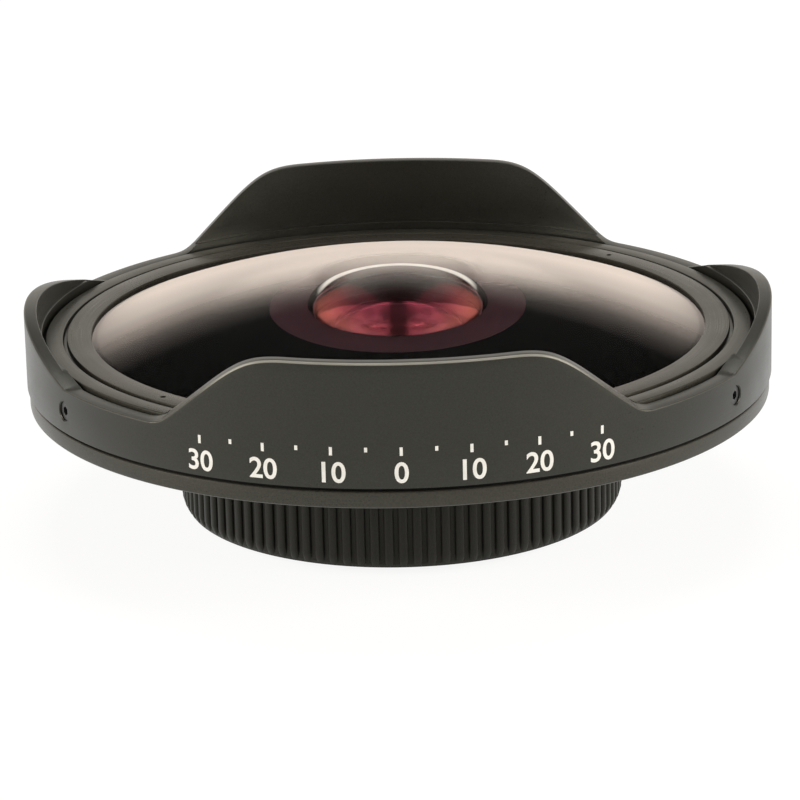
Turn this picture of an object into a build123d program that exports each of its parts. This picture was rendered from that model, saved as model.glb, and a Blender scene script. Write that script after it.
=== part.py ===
from build123d import *
from math import cos, radians, sin, sqrt
import os

# Fisheye converter lens with a petal hood. All lengths are millimetres.
# The origin is the centre of the thread collar's rear face, where the lens meets a camera.
# +Z is the optical axis towards the subject. The two tall petals stand at -Y and +Y.

# Mount collar: the major diameter of its 43 mm thread, and how it is screwed into the barrel
COLLAR_RADIUS = 21.5
COLLAR_LENGTH = 3.6
COLLAR_CHAMFER = 0.3
MOUNT_SHOULDER = 1.0
MOUNT_THREAD_WALL = 1.9
MOUNT_THREAD_LENGTH = 2.2
MOUNT_THREAD_END_GAP = 0.1
MOUNT_SLOT_WIDTH = 1.4
MOUNT_SLOT_DEPTH = 0.7
MOUNT_SLOT_REACH = 1.4

# Rear barrel with the knurled grip
BARREL_WALL = 1.58
COLLAR_PROUD = 1.0
RECESS_WIDTH = 1.7
WEB_THICKNESS = 2.2
BARREL_TOP_CHAMFER = 0.2
GRIP_RIB_COUNT = 100
GRIP_GROOVE_WIDTH = 0.5
GRIP_GROOVE_FLOOR_WIDTH = 0.28
GRIP_GROOVE_DEPTH = 0.42
GRIP_FADE_DEPTH = 0.6
GRIP_FADE_HEIGHT = 1.3

# Front housing: flange, floor, wall that the hood turns on, and threaded spigot for the barrel
FLANGE_STEP = 0.25
FLANGE_THICKNESS = 1.85
FLANGE_CHAMFER = 0.25
FLOOR_THICKNESS = 2.65
HOUSING_WALL = 1.9
HOUSING_SHOULDER = 1.75
RIM_STEP = 0.1
RIM_CHAMFER = 0.15
SPIGOT_STEP = 1.5
SPIGOT_WALL = 4.3
SPIGOT_LENGTH = 4.25
SPIGOT_STOP_GAP = 0.3
SPIGOT_LEAD_CHAMFER = 0.3
LOCK_GROOVE_DEPTH = 0.5
LOCK_GROOVE_FLOOR_WIDTH = 0.5
LOCK_GROOVE_MOUTH_WIDTH = 1.5

# Front glass: a thick meniscus with a nearly half-round hollow in its rear
GLASS_EDGE_HEIGHT = 3.06
GLASS_FRONT_CURVE = 93.0
GLASS_HOLLOW_RISE = 0.2
GLASS_CENTRE_THICKNESS = 1.0
GLASS_EDGE_CHAMFER = 0.2

# Front retaining ring, seal and light baffle
RING_LIP_OVERLAP = 1.35
RING_FACE_STEP = 0.38
RING_LIP_THICKNESS = 0.68
RING_STEP_DEPTH = 0.6
RING_SKIRT_LENGTH = 1.7
RING_EDGE_CHAMFER = 0.12
SPANNER_HOLE_RADIUS = 0.32
SPANNER_HOLE_DEPTH = 0.4
SPANNER_HOLE_AZIMUTH = -44.7
SPANNER_HOLE_INSET = 1.37
GASKET_THICKNESS = 0.5
GASKET_WIDTH = 2.2
GASKET_EDGE_GAP = 0.1
BAFFLE_THICKNESS = 0.3
BAFFLE_HOLE_MARGIN = 0.7
BAFFLE_EDGE_GAP = 0.4

# Second element, its spacer and its retaining ring
SECOND_SHOULDER = 0.65
SECOND_FRONT_CURVE = 45.0
SECOND_REAR_CURVE = 16.0
SECOND_CENTRE_THICKNESS = 1.6
SECOND_EDGE_HEIGHT = 3.0
SECOND_FRONT_GAP = 0.37
SECOND_LIP_OVERLAP = 0.4
SECOND_SPACER_THICKNESS = 0.3
SECOND_SPACER_WIDTH = 3.0
SECOND_RING_WIDTH = 3.05
SECOND_RING_INSET = 0.45
SECOND_SLOT_WIDTH = 1.2
SECOND_SLOT_DEPTH = 0.6

# Rear cell, its cemented pair of elements, retaining ring and stop
CELL_TUBE_WALL = 1.35
CELL_TAIL_LENGTH = 5.83
CELL_FLANGE_WIDTH = 1.75
CELL_FLANGE_THICKNESS = 0.87
CELL_FLANGE_GAP = 0.03
CELL_LIP_HEIGHT = 1.3
CELL_LIP_OVERLAP = 0.8
PAIR_RADIUS = 9.5
CROWN_FRONT_CURVE = 28.0
CEMENT_CURVE = 26.0
CROWN_EDGE_HEIGHT = 0.9
FLINT_CENTRE_THICKNESS = 1.12
CEMENT_THICKNESS = 0.01
REAR_RING_SHOULDER = 0.65
REAR_RING_WIDTH = 1.55
REAR_RING_HEIGHT = 1.05
REAR_SLOT_WIDTH = 1.0
REAR_SLOT_DEPTH = 0.5
STOP_LIP_OVERLAP = 0.9
STOP_THICKNESS = 0.3
STOP_EDGE_GAP = 0.1

# Petal hood, the slide washer under it and its three set screws
HOOD_RADIUS = 41.5
HOOD_GUIDE_HEIGHT = 3.9
HOOD_GUIDE_WALL = 2.25
HOOD_WALL = 1.9
PETAL_WALL = 1.45
HOOD_BAND_HEIGHT = 4.85
HOOD_LEDGE_RISE = 1.1
HOOD_BOTTOM_CHAMFER = 0.15
HOOD_TOP_CHAMFER = 0.22
TALL_PETAL_RISE = 8.6
TALL_PETAL_HALF_ANGLE = 22.44
TALL_PETAL_FOOT_HALF_ANGLE = 37.32
TALL_PETAL_CORNER_RADIUS = 4.2
TALL_PETAL_FOOT_RADIUS = 1.5
SHORT_PETAL_RISE = 3.75
SHORT_PETAL_HALF_ANGLE = 30.24
WASHER_THICKNESS = 0.32
WASHER_BORE_GAP = 0.15
WASHER_WIDTH = 1.55
WASHER_GAP = 0.03
SCREW_RADIUS = 1.0
SCREW_HEIGHT = 2.45
SCREW_RECESS = 0.25
SCREW_TIP_RADIUS = 0.15
SCREW_TIP_GAP = 0.1
SCREW_HOLE_CHAMFER = 0.12
SCREW_SOCKET_ACROSS_FLATS = 0.9
SCREW_SOCKET_DEPTH = 1.1
SCREW_AZIMUTHS = (-60.0, 60.0, 180.0)

# Clearances between pieces, and the overrun of every cut past the surface that it leaves by
THREAD_CLEARANCE = 0.05
RUNNING_CLEARANCE = 0.06
GUIDE_CLEARANCE = 0.05
GLASS_CLEARANCE = 0.05
GLASS_SEAT_GAP = 0.02
CUT_OVERRUN = 1.0


def cap_height(curve, radius):
    """Height of a spherical cap of the given curvature over a circle of the given radius."""
    return curve - sqrt(curve * curve - radius * radius)


def cap_radius(curve, height):
    """Radius of the circle that a spherical cap of the given height stands on."""
    return sqrt(curve * curve - (curve - height) ** 2)


# Radii of the rear half, from the mount's thread inwards and outwards
mount_thread_radius = COLLAR_RADIUS - MOUNT_SHOULDER
mount_thread_bore_radius = mount_thread_radius + THREAD_CLEARANCE
collar_bore_radius = mount_thread_radius - MOUNT_THREAD_WALL
recess_radius = COLLAR_RADIUS + RECESS_WIDTH
barrel_radius = recess_radius + BARREL_WALL
spigot_radius = mount_thread_radius - SPIGOT_STEP
barrel_bore_radius = spigot_radius + RUNNING_CLEARANCE
second_ring_thread_bore_radius = spigot_radius - SPIGOT_WALL
second_ring_thread_radius = second_ring_thread_bore_radius - THREAD_CLEARANCE
second_ring_bore_radius = second_ring_thread_radius - SECOND_RING_WIDTH
second_radius = second_ring_thread_radius - SECOND_SHOULDER
second_bore_radius = second_radius + GLASS_CLEARANCE
second_lip_radius = second_radius - SECOND_LIP_OVERLAP
second_spacer_bore_radius = second_radius - SECOND_SPACER_WIDTH
rear_ring_thread_radius = PAIR_RADIUS + REAR_RING_SHOULDER
rear_ring_bore_radius = rear_ring_thread_radius - REAR_RING_WIDTH
cell_thread_bore_radius = rear_ring_thread_radius + THREAD_CLEARANCE
cell_tube_radius = cell_thread_bore_radius + CELL_TUBE_WALL
cell_flange_radius = cell_tube_radius + CELL_FLANGE_WIDTH
cell_lip_radius = PAIR_RADIUS - CELL_LIP_OVERLAP
web_bore_radius = cell_tube_radius + RUNNING_CLEARANCE
stop_radius = cell_lip_radius - STOP_LIP_OVERLAP
stop_outer_radius = cell_flange_radius - STOP_EDGE_GAP

# Radii of the front half, from the hood inwards
flange_radius = HOOD_RADIUS - FLANGE_STEP
hood_guide_radius = HOOD_RADIUS - HOOD_GUIDE_WALL
hood_bore_radius = HOOD_RADIUS - HOOD_WALL
petal_bore_radius = HOOD_RADIUS - PETAL_WALL
housing_wall_radius = hood_guide_radius - GUIDE_CLEARANCE
lock_groove_radius = housing_wall_radius - LOCK_GROOVE_DEPTH
washer_inner_radius = housing_wall_radius + WASHER_BORE_GAP
washer_outer_radius = washer_inner_radius + WASHER_WIDTH
housing_bore_radius = housing_wall_radius - HOUSING_WALL
glass_seat_radius = housing_bore_radius - HOUSING_SHOULDER
glass_radius = glass_seat_radius - GLASS_CLEARANCE
ring_thread_radius = housing_bore_radius - THREAD_CLEARANCE
ring_face_radius = ring_thread_radius - RING_FACE_STEP
ring_bore_radius = glass_radius - RING_LIP_OVERLAP
spanner_circle_radius = ring_face_radius - SPANNER_HOLE_INSET
gasket_outer_radius = glass_radius - GASKET_EDGE_GAP
gasket_inner_radius = gasket_outer_radius - GASKET_WIDTH
baffle_outer_radius = gasket_inner_radius - BAFFLE_EDGE_GAP
baffle_inner_radius = second_lip_radius + BAFFLE_HOLE_MARGIN

# Heights, from the collar's rear face up to the petals
skirt_bottom = COLLAR_PROUD
recess_floor = COLLAR_LENGTH
web_bottom = recess_floor + MOUNT_THREAD_LENGTH
web_top = web_bottom + WEB_THICKNESS
cell_flange_bottom = web_top + CELL_FLANGE_GAP
cell_top = cell_flange_bottom + CELL_FLANGE_THICKNESS
cell_bottom = cell_flange_bottom - CELL_TAIL_LENGTH
cell_seat = cell_top - CELL_LIP_HEIGHT
stop_top = cell_top + STOP_THICKNESS
spigot_bottom = stop_top + SPIGOT_STOP_GAP
flange_bottom = spigot_bottom + SPIGOT_LENGTH
flange_top = flange_bottom + FLANGE_THICKNESS
floor_top = flange_bottom + FLOOR_THICKNESS
barrel_top = flange_bottom - THREAD_CLEARANCE
barrel_height = barrel_top - skirt_bottom
hood_bottom = flange_top + WASHER_THICKNESS + WASHER_GAP
notch_floor = hood_bottom + HOOD_BAND_HEIGHT
ledge = notch_floor + HOOD_LEDGE_RISE
tall_petal_top = notch_floor + TALL_PETAL_RISE
short_petal_top = notch_floor + SHORT_PETAL_RISE
screw_height = hood_bottom + SCREW_HEIGHT

# Front glass: its top follows from its rim and its curve, its hollow from its top
glass_rear = floor_top + GASKET_THICKNESS
glass_top = glass_rear + GLASS_EDGE_HEIGHT + cap_height(GLASS_FRONT_CURVE, glass_radius)
hollow_top = glass_top - GLASS_CENTRE_THICKNESS
hollow_depth = hollow_top - glass_rear
hollow_curve = hollow_depth + GLASS_HOLLOW_RISE
hollow_radius = cap_radius(hollow_curve, hollow_depth)


def glass_front_height(radius):
    """Height of the front glass's outer surface at a distance from the axis."""
    return glass_top - cap_height(GLASS_FRONT_CURVE, radius)


ring_lip_bottom = glass_front_height(ring_bore_radius) + GLASS_SEAT_GAP
ring_top = ring_lip_bottom + RING_LIP_THICKNESS
rim_top = ring_top - RIM_STEP

# Second element: it sits as high as the flat rear of the front glass lets its dome come
second_dome = cap_height(SECOND_FRONT_CURVE, second_lip_radius) - GLASS_SEAT_GAP
dome_at_hollow = cap_height(SECOND_FRONT_CURVE, hollow_radius)
second_top = glass_rear - SECOND_FRONT_GAP + dome_at_hollow
second_seat = second_top - second_dome
second_rear = second_seat - SECOND_EDGE_HEIGHT
second_ring_top = second_rear - SECOND_SPACER_THICKNESS
second_ring_bottom = spigot_bottom + SECOND_RING_INSET


def turned(*outline):
    """Solid turned about Z from a closed outline of (radius, height) points."""
    edge = Polyline(*[(radius, 0, height) for radius, height in outline], close=True)
    return revolve(make_face(edge), axis=Axis.Z)


def ring(inner_radius, outer_radius, bottom, top):
    """Plain flat ring about Z."""
    return turned((inner_radius, bottom), (outer_radius, bottom), (outer_radius, top), (inner_radius, top))


def arc(curve, start, end, side):
    """Arc from one (radius, height) point to another, bulging up for side 1 and down for side -1."""
    middle_radius = (start[0] + end[0]) / 2
    top = max(start[1], end[1]) if side > 0 else min(start[1], end[1])
    middle_height = top - side * cap_height(curve, middle_radius)
    return ThreePointArc(
        (start[0], 0, start[1]), (middle_radius, 0, middle_height), (end[0], 0, end[1])
    )


def line(*points):
    """Straight runs through (radius, height) points."""
    return Polyline(*[(radius, 0, height) for radius, height in points])


def slots(width, depth, inner_radius, outer_radius, bottom):
    """Two spanner slots, opposite each other, cut up from a ring's rear face."""
    length = outer_radius - inner_radius
    centre = (inner_radius + outer_radius) / 2
    height = depth + CUT_OVERRUN
    cutter = Box(length, width, height)
    middle = bottom - CUT_OVERRUN + height / 2
    return Pos(centre, 0, middle) * cutter + Pos(-centre, 0, middle) * cutter


def outward(azimuth):
    """Plane with its Z pointing out from the axis, its X up, at a turn from -Y towards +X."""
    turn = radians(azimuth)
    direction = (sin(turn), -cos(turn), 0)
    return Plane(origin=(0, 0, screw_height), x_dir=(0, 0, 1), z_dir=direction)


def mount_ring():
    """Collar with the 43 mm male thread, at its major diameter, screwed up into the barrel."""
    body = turned(
        (collar_bore_radius, 0),
        (COLLAR_RADIUS - COLLAR_CHAMFER, 0),
        (COLLAR_RADIUS, COLLAR_CHAMFER),
        (COLLAR_RADIUS, recess_floor),
        (mount_thread_radius, recess_floor),
        (mount_thread_radius, web_bottom - MOUNT_THREAD_END_GAP),
        (collar_bore_radius, web_bottom - MOUNT_THREAD_END_GAP),
    )
    inner = collar_bore_radius - CUT_OVERRUN
    outer = collar_bore_radius + MOUNT_SLOT_REACH
    return body - slots(MOUNT_SLOT_WIDTH, MOUNT_SLOT_DEPTH, inner, outer, 0)


def grip_profile():
    """Circle with the grip's straight grooves cut into it."""
    floor_radius = barrel_radius - GRIP_GROOVE_DEPTH
    mouth_radius = barrel_radius + GRIP_GROOVE_DEPTH
    mouth_width = 2 * GRIP_GROOVE_WIDTH - GRIP_GROOVE_FLOOR_WIDTH
    groove = make_face(
        Polyline(
            (floor_radius, -GRIP_GROOVE_FLOOR_WIDTH / 2),
            (mouth_radius, -mouth_width / 2),
            (mouth_radius, mouth_width / 2),
            (floor_radius, GRIP_GROOVE_FLOOR_WIDTH / 2),
            close=True,
        )
    )
    step = 360 / GRIP_RIB_COUNT
    grooves = [Rot(0, 0, step * number) * groove for number in range(GRIP_RIB_COUNT)]
    return Circle(barrel_radius) - grooves


def rear_barrel():
    """Knurled barrel: the grip outside, a web for the rear cell and two threaded bores inside."""
    grip = Pos(0, 0, skirt_bottom) * extrude(grip_profile(), barrel_height)
    shape = turned(
        (recess_radius, skirt_bottom),
        (barrel_radius - GRIP_FADE_DEPTH, skirt_bottom),
        (barrel_radius, skirt_bottom + GRIP_FADE_HEIGHT),
        (barrel_radius, barrel_top - BARREL_TOP_CHAMFER),
        (barrel_radius - BARREL_TOP_CHAMFER, barrel_top),
        (barrel_bore_radius, barrel_top),
        (barrel_bore_radius, web_top),
        (web_bore_radius, web_top),
        (web_bore_radius, web_bottom),
        (mount_thread_bore_radius, web_bottom),
        (mount_thread_bore_radius, recess_floor),
        (recess_radius, recess_floor),
    )
    return shape & grip


def front_housing():
    """Flange and floor, with the wall that the hood turns on and the spigot that takes the barrel."""
    groove_middle = screw_height
    mouth = LOCK_GROOVE_MOUTH_WIDTH / 2
    groove_floor = LOCK_GROOVE_FLOOR_WIDTH / 2
    ring_seat = ring_top - RING_LIP_THICKNESS - RING_SKIRT_LENGTH - THREAD_CLEARANCE
    return turned(
        (spigot_radius - SPIGOT_LEAD_CHAMFER, spigot_bottom),
        (spigot_radius, spigot_bottom + SPIGOT_LEAD_CHAMFER),
        (spigot_radius, flange_bottom),
        (flange_radius - FLANGE_CHAMFER, flange_bottom),
        (flange_radius, flange_bottom + FLANGE_CHAMFER),
        (flange_radius, flange_top - FLANGE_CHAMFER),
        (flange_radius - FLANGE_CHAMFER, flange_top),
        (housing_wall_radius, flange_top),
        (housing_wall_radius, groove_middle - mouth),
        (lock_groove_radius, groove_middle - groove_floor),
        (lock_groove_radius, groove_middle + groove_floor),
        (housing_wall_radius, groove_middle + mouth),
        (housing_wall_radius, rim_top - RIM_CHAMFER),
        (housing_wall_radius - RIM_CHAMFER, rim_top),
        (housing_bore_radius + RIM_CHAMFER, rim_top),
        (housing_bore_radius, rim_top - RIM_CHAMFER),
        (housing_bore_radius, ring_seat),
        (glass_seat_radius, ring_seat),
        (glass_seat_radius, floor_top),
        (second_lip_radius, floor_top),
        (second_lip_radius, second_seat),
        (second_bore_radius, second_seat),
        (second_bore_radius, second_ring_top + THREAD_CLEARANCE),
        (second_ring_thread_bore_radius, second_ring_top + THREAD_CLEARANCE),
        (second_ring_thread_bore_radius, spigot_bottom),
    )


def front_element():
    """Front meniscus: shallow dome in front, nearly half-round hollow behind."""
    front_radius = glass_radius - GLASS_EDGE_CHAMFER
    front_edge = glass_front_height(front_radius)
    outline = [
        arc(hollow_curve, (0, hollow_top), (hollow_radius, glass_rear), 1),
        line(
            (hollow_radius, glass_rear),
            (front_radius, glass_rear),
            (glass_radius, glass_rear + GLASS_EDGE_CHAMFER),
            (glass_radius, front_edge - GLASS_EDGE_CHAMFER),
            (front_radius, front_edge),
        ),
        arc(GLASS_FRONT_CURVE, (front_radius, front_edge), (0, glass_top), 1),
        line((0, glass_top), (0, hollow_top)),
    ]
    return revolve(make_face(outline), axis=Axis.Z)


def front_retaining_ring():
    """Threaded ring whose lip holds the glass down, with two small spanner holes in its face."""
    skirt_bottom_height = ring_lip_bottom - RING_SKIRT_LENGTH
    lip_root = glass_front_height(glass_radius) + GLASS_SEAT_GAP
    body = turned(
        (ring_bore_radius, ring_lip_bottom),
        (glass_seat_radius, lip_root),
        (glass_seat_radius, skirt_bottom_height),
        (ring_thread_radius, skirt_bottom_height),
        (ring_thread_radius, ring_top - RING_STEP_DEPTH),
        (ring_face_radius, ring_top - RING_STEP_DEPTH),
        (ring_face_radius, ring_top - RING_EDGE_CHAMFER),
        (ring_face_radius - RING_EDGE_CHAMFER, ring_top),
        (ring_bore_radius + RING_EDGE_CHAMFER, ring_top),
        (ring_bore_radius, ring_top - RING_EDGE_CHAMFER),
    )
    height = SPANNER_HOLE_DEPTH + CUT_OVERRUN
    middle = ring_top + CUT_OVERRUN - height / 2
    for azimuth in (SPANNER_HOLE_AZIMUTH, SPANNER_HOLE_AZIMUTH + 180):
        turn = radians(azimuth)
        place = Pos(spanner_circle_radius * sin(turn), -spanner_circle_radius * cos(turn), middle)
        body -= place * Cylinder(SPANNER_HOLE_RADIUS, height)
    return body


def front_gasket():
    """Flat seal between the housing's floor and the rear of the front glass."""
    return ring(gasket_inner_radius, gasket_outer_radius, floor_top, glass_rear)


def baffle_plate():
    """Thin matt plate on the housing's floor, seen as the dark ground behind the front glass."""
    return ring(baffle_inner_radius, baffle_outer_radius, floor_top, floor_top + BAFFLE_THICKNESS)


def second_element():
    """Second meniscus, its front against the lip around the housing's opening."""
    rear_top = second_top - SECOND_CENTRE_THICKNESS
    rear_radius = cap_radius(SECOND_REAR_CURVE, rear_top - second_rear)
    front_edge = second_top - cap_height(SECOND_FRONT_CURVE, second_radius)
    outline = [
        arc(SECOND_REAR_CURVE, (0, rear_top), (rear_radius, second_rear), 1),
        line((rear_radius, second_rear), (second_radius, second_rear), (second_radius, front_edge)),
        arc(SECOND_FRONT_CURVE, (second_radius, front_edge), (0, second_top), 1),
        line((0, second_top), (0, rear_top)),
    ]
    return revolve(make_face(outline), axis=Axis.Z)


def second_spacer_ring():
    """Thin slip ring between the second element and its retaining ring."""
    return ring(second_spacer_bore_radius, second_radius, second_ring_top, second_rear)


def second_retaining_ring():
    """Threaded ring that holds the second element up against its lip."""
    body = ring(
        second_ring_bore_radius, second_ring_thread_radius, second_ring_bottom, second_ring_top
    )
    inner = second_ring_bore_radius - CUT_OVERRUN
    outer = second_ring_thread_radius + CUT_OVERRUN
    return body - slots(SECOND_SLOT_WIDTH, SECOND_SLOT_DEPTH, inner, outer, second_ring_bottom)


def crown_top():
    """Height of the crown element's front surface on the axis."""
    return cell_seat - GLASS_SEAT_GAP + cap_height(CROWN_FRONT_CURVE, cell_lip_radius)


def cement_edge():
    """Height of the cemented surface at the rim of the pair."""
    return crown_top() - cap_height(CROWN_FRONT_CURVE, PAIR_RADIUS) - CROWN_EDGE_HEIGHT


def flint_rear():
    """Height of the flint element's flat rear face."""
    return cement_edge() - cap_height(CEMENT_CURVE, PAIR_RADIUS) - FLINT_CENTRE_THICKNESS


def rear_cell():
    """Tube that carries the rear pair, hung from its flange on the barrel's web."""
    pair_radius = PAIR_RADIUS + GLASS_CLEARANCE
    return turned(
        (cell_lip_radius, cell_top),
        (cell_lip_radius, cell_seat),
        (pair_radius, cell_seat),
        (pair_radius, flint_rear()),
        (cell_thread_bore_radius, flint_rear()),
        (cell_thread_bore_radius, cell_bottom),
        (cell_tube_radius, cell_bottom),
        (cell_tube_radius, cell_flange_bottom),
        (cell_flange_radius, cell_flange_bottom),
        (cell_flange_radius, cell_top),
    )


def rear_crown_element():
    """Front half of the cemented rear pair, curved out on both faces."""
    top = crown_top()
    front_edge = top - cap_height(CROWN_FRONT_CURVE, PAIR_RADIUS)
    bottom = cement_edge() - cap_height(CEMENT_CURVE, PAIR_RADIUS)
    outline = [
        arc(CEMENT_CURVE, (0, bottom), (PAIR_RADIUS, cement_edge()), -1),
        line((PAIR_RADIUS, cement_edge()), (PAIR_RADIUS, front_edge)),
        arc(CROWN_FRONT_CURVE, (PAIR_RADIUS, front_edge), (0, top), 1),
        line((0, top), (0, bottom)),
    ]
    return revolve(make_face(outline), axis=Axis.Z)


def rear_flint_element():
    """Rear half of the cemented pair, hollowed to fit the crown and flat behind."""
    edge = cement_edge() - CEMENT_THICKNESS
    hollow_bottom = edge - cap_height(CEMENT_CURVE, PAIR_RADIUS)
    outline = [
        line((0, hollow_bottom), (0, flint_rear()), (PAIR_RADIUS, flint_rear()), (PAIR_RADIUS, edge)),
        arc(CEMENT_CURVE, (PAIR_RADIUS, edge), (0, hollow_bottom), -1),
    ]
    return revolve(make_face(outline), axis=Axis.Z)


def rear_retaining_ring():
    """Threaded ring that holds the cemented pair in the rear cell."""
    top = flint_rear()
    bottom = top - REAR_RING_HEIGHT
    body = ring(rear_ring_bore_radius, rear_ring_thread_radius, bottom, top)
    inner = rear_ring_bore_radius - CUT_OVERRUN
    outer = rear_ring_thread_radius + CUT_OVERRUN
    return body - slots(REAR_SLOT_WIDTH, REAR_SLOT_DEPTH, inner, outer, bottom)


def stray_light_stop():
    """Thin plate with the aperture, on top of the rear cell's flange."""
    return ring(stop_radius, stop_outer_radius, cell_top, stop_top)


def hood_washer():
    """Thin slide washer that the hood turns on, the dark line above the flange."""
    return ring(washer_inner_radius, washer_outer_radius, flange_top, flange_top + WASHER_THICKNESS)


def tall_petal_cut(half_width):
    """Room above the hood's edge at -Y and +Y: flat petal top, sloping flanks, notch floor."""
    top = tall_petal_top + CUT_OVERRUN
    petal_half_width = HOOD_RADIUS * sin(radians(TALL_PETAL_HALF_ANGLE))
    foot_half_width = HOOD_RADIUS * sin(radians(TALL_PETAL_FOOT_HALF_ANGLE))
    sharp = 0
    outline = FilletPolyline(
        (-half_width, notch_floor),
        (-foot_half_width, notch_floor),
        (-petal_half_width, tall_petal_top),
        (petal_half_width, tall_petal_top),
        (foot_half_width, notch_floor),
        (half_width, notch_floor),
        (half_width, top),
        (-half_width, top),
        radius=[
            sharp,
            TALL_PETAL_FOOT_RADIUS,
            TALL_PETAL_CORNER_RADIUS,
            TALL_PETAL_CORNER_RADIUS,
            TALL_PETAL_FOOT_RADIUS,
            sharp,
            sharp,
            sharp,
        ],
        close=True,
    )
    face = Plane.XZ * make_face(outline)
    return extrude(face, HOOD_RADIUS + CUT_OVERRUN, both=True)


def short_petal_cut(start):
    """Room above the hood's edge at +X: one low arc between two notch floors."""
    reach = HOOD_RADIUS + CUT_OVERRUN
    top = tall_petal_top + CUT_OVERRUN
    short_half_width = HOOD_RADIUS * sin(radians(SHORT_PETAL_HALF_ANGLE))
    outline = [
        ThreePointArc(
            (-short_half_width, notch_floor),
            (0, short_petal_top),
            (short_half_width, notch_floor),
        ),
        Polyline(
            (short_half_width, notch_floor),
            (reach, notch_floor),
            (reach, top),
            (-reach, top),
            (-reach, notch_floor),
            (-short_half_width, notch_floor),
        ),
    ]
    face = Plane.YZ.offset(start) * make_face(outline)
    return extrude(face, reach - start)


def screw_hole(azimuth):
    """Threaded hole through the hood's band, with a small chamfer at its mouth."""
    hole_radius = SCREW_RADIUS + THREAD_CLEARANCE
    depth = HOOD_RADIUS - housing_wall_radius + CUT_OVERRUN
    start = housing_wall_radius - CUT_OVERRUN
    hole = Pos(0, 0, start) * Cylinder(
        hole_radius, depth + CUT_OVERRUN, align=(Align.CENTER, Align.CENTER, Align.MIN)
    )
    mouth = Pos(0, 0, HOOD_RADIUS - SCREW_HOLE_CHAMFER) * Cone(
        hole_radius,
        hole_radius + SCREW_HOLE_CHAMFER + CUT_OVERRUN,
        SCREW_HOLE_CHAMFER + CUT_OVERRUN,
        align=(Align.CENTER, Align.CENTER, Align.MIN),
    )
    return outward(azimuth) * (hole + mouth)


def petal_hood():
    """Hood: guide land and band below, four petals above, and three radial screw holes."""
    relief = hood_bottom + HOOD_GUIDE_HEIGHT
    relief_slope = hood_bore_radius - hood_guide_radius
    body = turned(
        (hood_guide_radius, hood_bottom),
        (HOOD_RADIUS - HOOD_BOTTOM_CHAMFER, hood_bottom),
        (HOOD_RADIUS, hood_bottom + HOOD_BOTTOM_CHAMFER),
        (HOOD_RADIUS, tall_petal_top - HOOD_TOP_CHAMFER),
        (HOOD_RADIUS - HOOD_TOP_CHAMFER, tall_petal_top),
        (petal_bore_radius + HOOD_TOP_CHAMFER, tall_petal_top),
        (petal_bore_radius, tall_petal_top - HOOD_TOP_CHAMFER),
        (petal_bore_radius, ledge),
        (hood_bore_radius, ledge),
        (hood_bore_radius, relief + relief_slope),
        (hood_guide_radius, relief),
    )
    short_half_width = HOOD_RADIUS * sin(radians(SHORT_PETAL_HALF_ANGLE))
    tall_foot_half_width = HOOD_RADIUS * sin(radians(TALL_PETAL_FOOT_HALF_ANGLE))
    short_petal_start = sqrt(hood_guide_radius**2 - short_half_width**2)
    middle = (tall_foot_half_width + short_petal_start) / 2
    short_cut = short_petal_cut(middle)
    body -= tall_petal_cut(middle)
    body -= short_cut
    body -= Rot(0, 0, 180) * short_cut
    for azimuth in SCREW_AZIMUTHS:
        body -= screw_hole(azimuth)
    return body


def hood_set_screw(azimuth):
    """Headless screw with a hex socket, its cone point in the housing's groove."""
    tip = lock_groove_radius + SCREW_TIP_GAP
    head = HOOD_RADIUS - SCREW_RECESS
    cone_height = SCREW_RADIUS - SCREW_TIP_RADIUS
    body = turned(
        (0, tip),
        (SCREW_TIP_RADIUS, tip),
        (SCREW_RADIUS, tip + cone_height),
        (SCREW_RADIUS, head),
        (0, head),
    )
    socket_radius = SCREW_SOCKET_ACROSS_FLATS / 2 / cos(radians(30))
    socket = extrude(RegularPolygon(socket_radius, 6), SCREW_SOCKET_DEPTH + CUT_OVERRUN)
    body -= Pos(0, 0, head - SCREW_SOCKET_DEPTH) * socket
    return outward(azimuth) * body


def write(name, shape):
    """One STEP file for one piece."""
    shape.label = name
    export_step(shape, f"parts/{name}.step")
    print(name, round(shape.volume, 2))


os.makedirs("parts", exist_ok=True)

PIECES = {
    "mount_ring": mount_ring,
    "rear_barrel": rear_barrel,
    "rear_cell": rear_cell,
    "rear_crown_element": rear_crown_element,
    "rear_flint_element": rear_flint_element,
    "rear_retaining_ring": rear_retaining_ring,
    "stray_light_stop": stray_light_stop,
    "second_retaining_ring": second_retaining_ring,
    "second_spacer_ring": second_spacer_ring,
    "second_element": second_element,
    "front_housing": front_housing,
    "baffle_plate": baffle_plate,
    "front_gasket": front_gasket,
    "front_element": front_element,
    "front_retaining_ring": front_retaining_ring,
    "hood_washer": hood_washer,
    "petal_hood": petal_hood,
}

for piece_name, make in PIECES.items():
    write(piece_name, make())

for number, screw_azimuth in enumerate(SCREW_AZIMUTHS, start=1):
    write(f"hood_set_screw_{number}", hood_set_screw(screw_azimuth))
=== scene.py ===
# %% [markdown]
# A fisheye converter lens
#
# This script dresses a finished CAD model of a wide, low converter lens. The CAD gives every
# size and every moving body; here each visible piece gets smooth faces, small rounded edges
# and a finish of its own. All Blender lengths are metres, while the lens is drawn in
# millimetres, so one factor turns the one into the other.

# %% Load the frame
from math import acos, cos, pi, radians, sin, sqrt, tan

import bpy
from mathutils import Matrix, Vector


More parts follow.
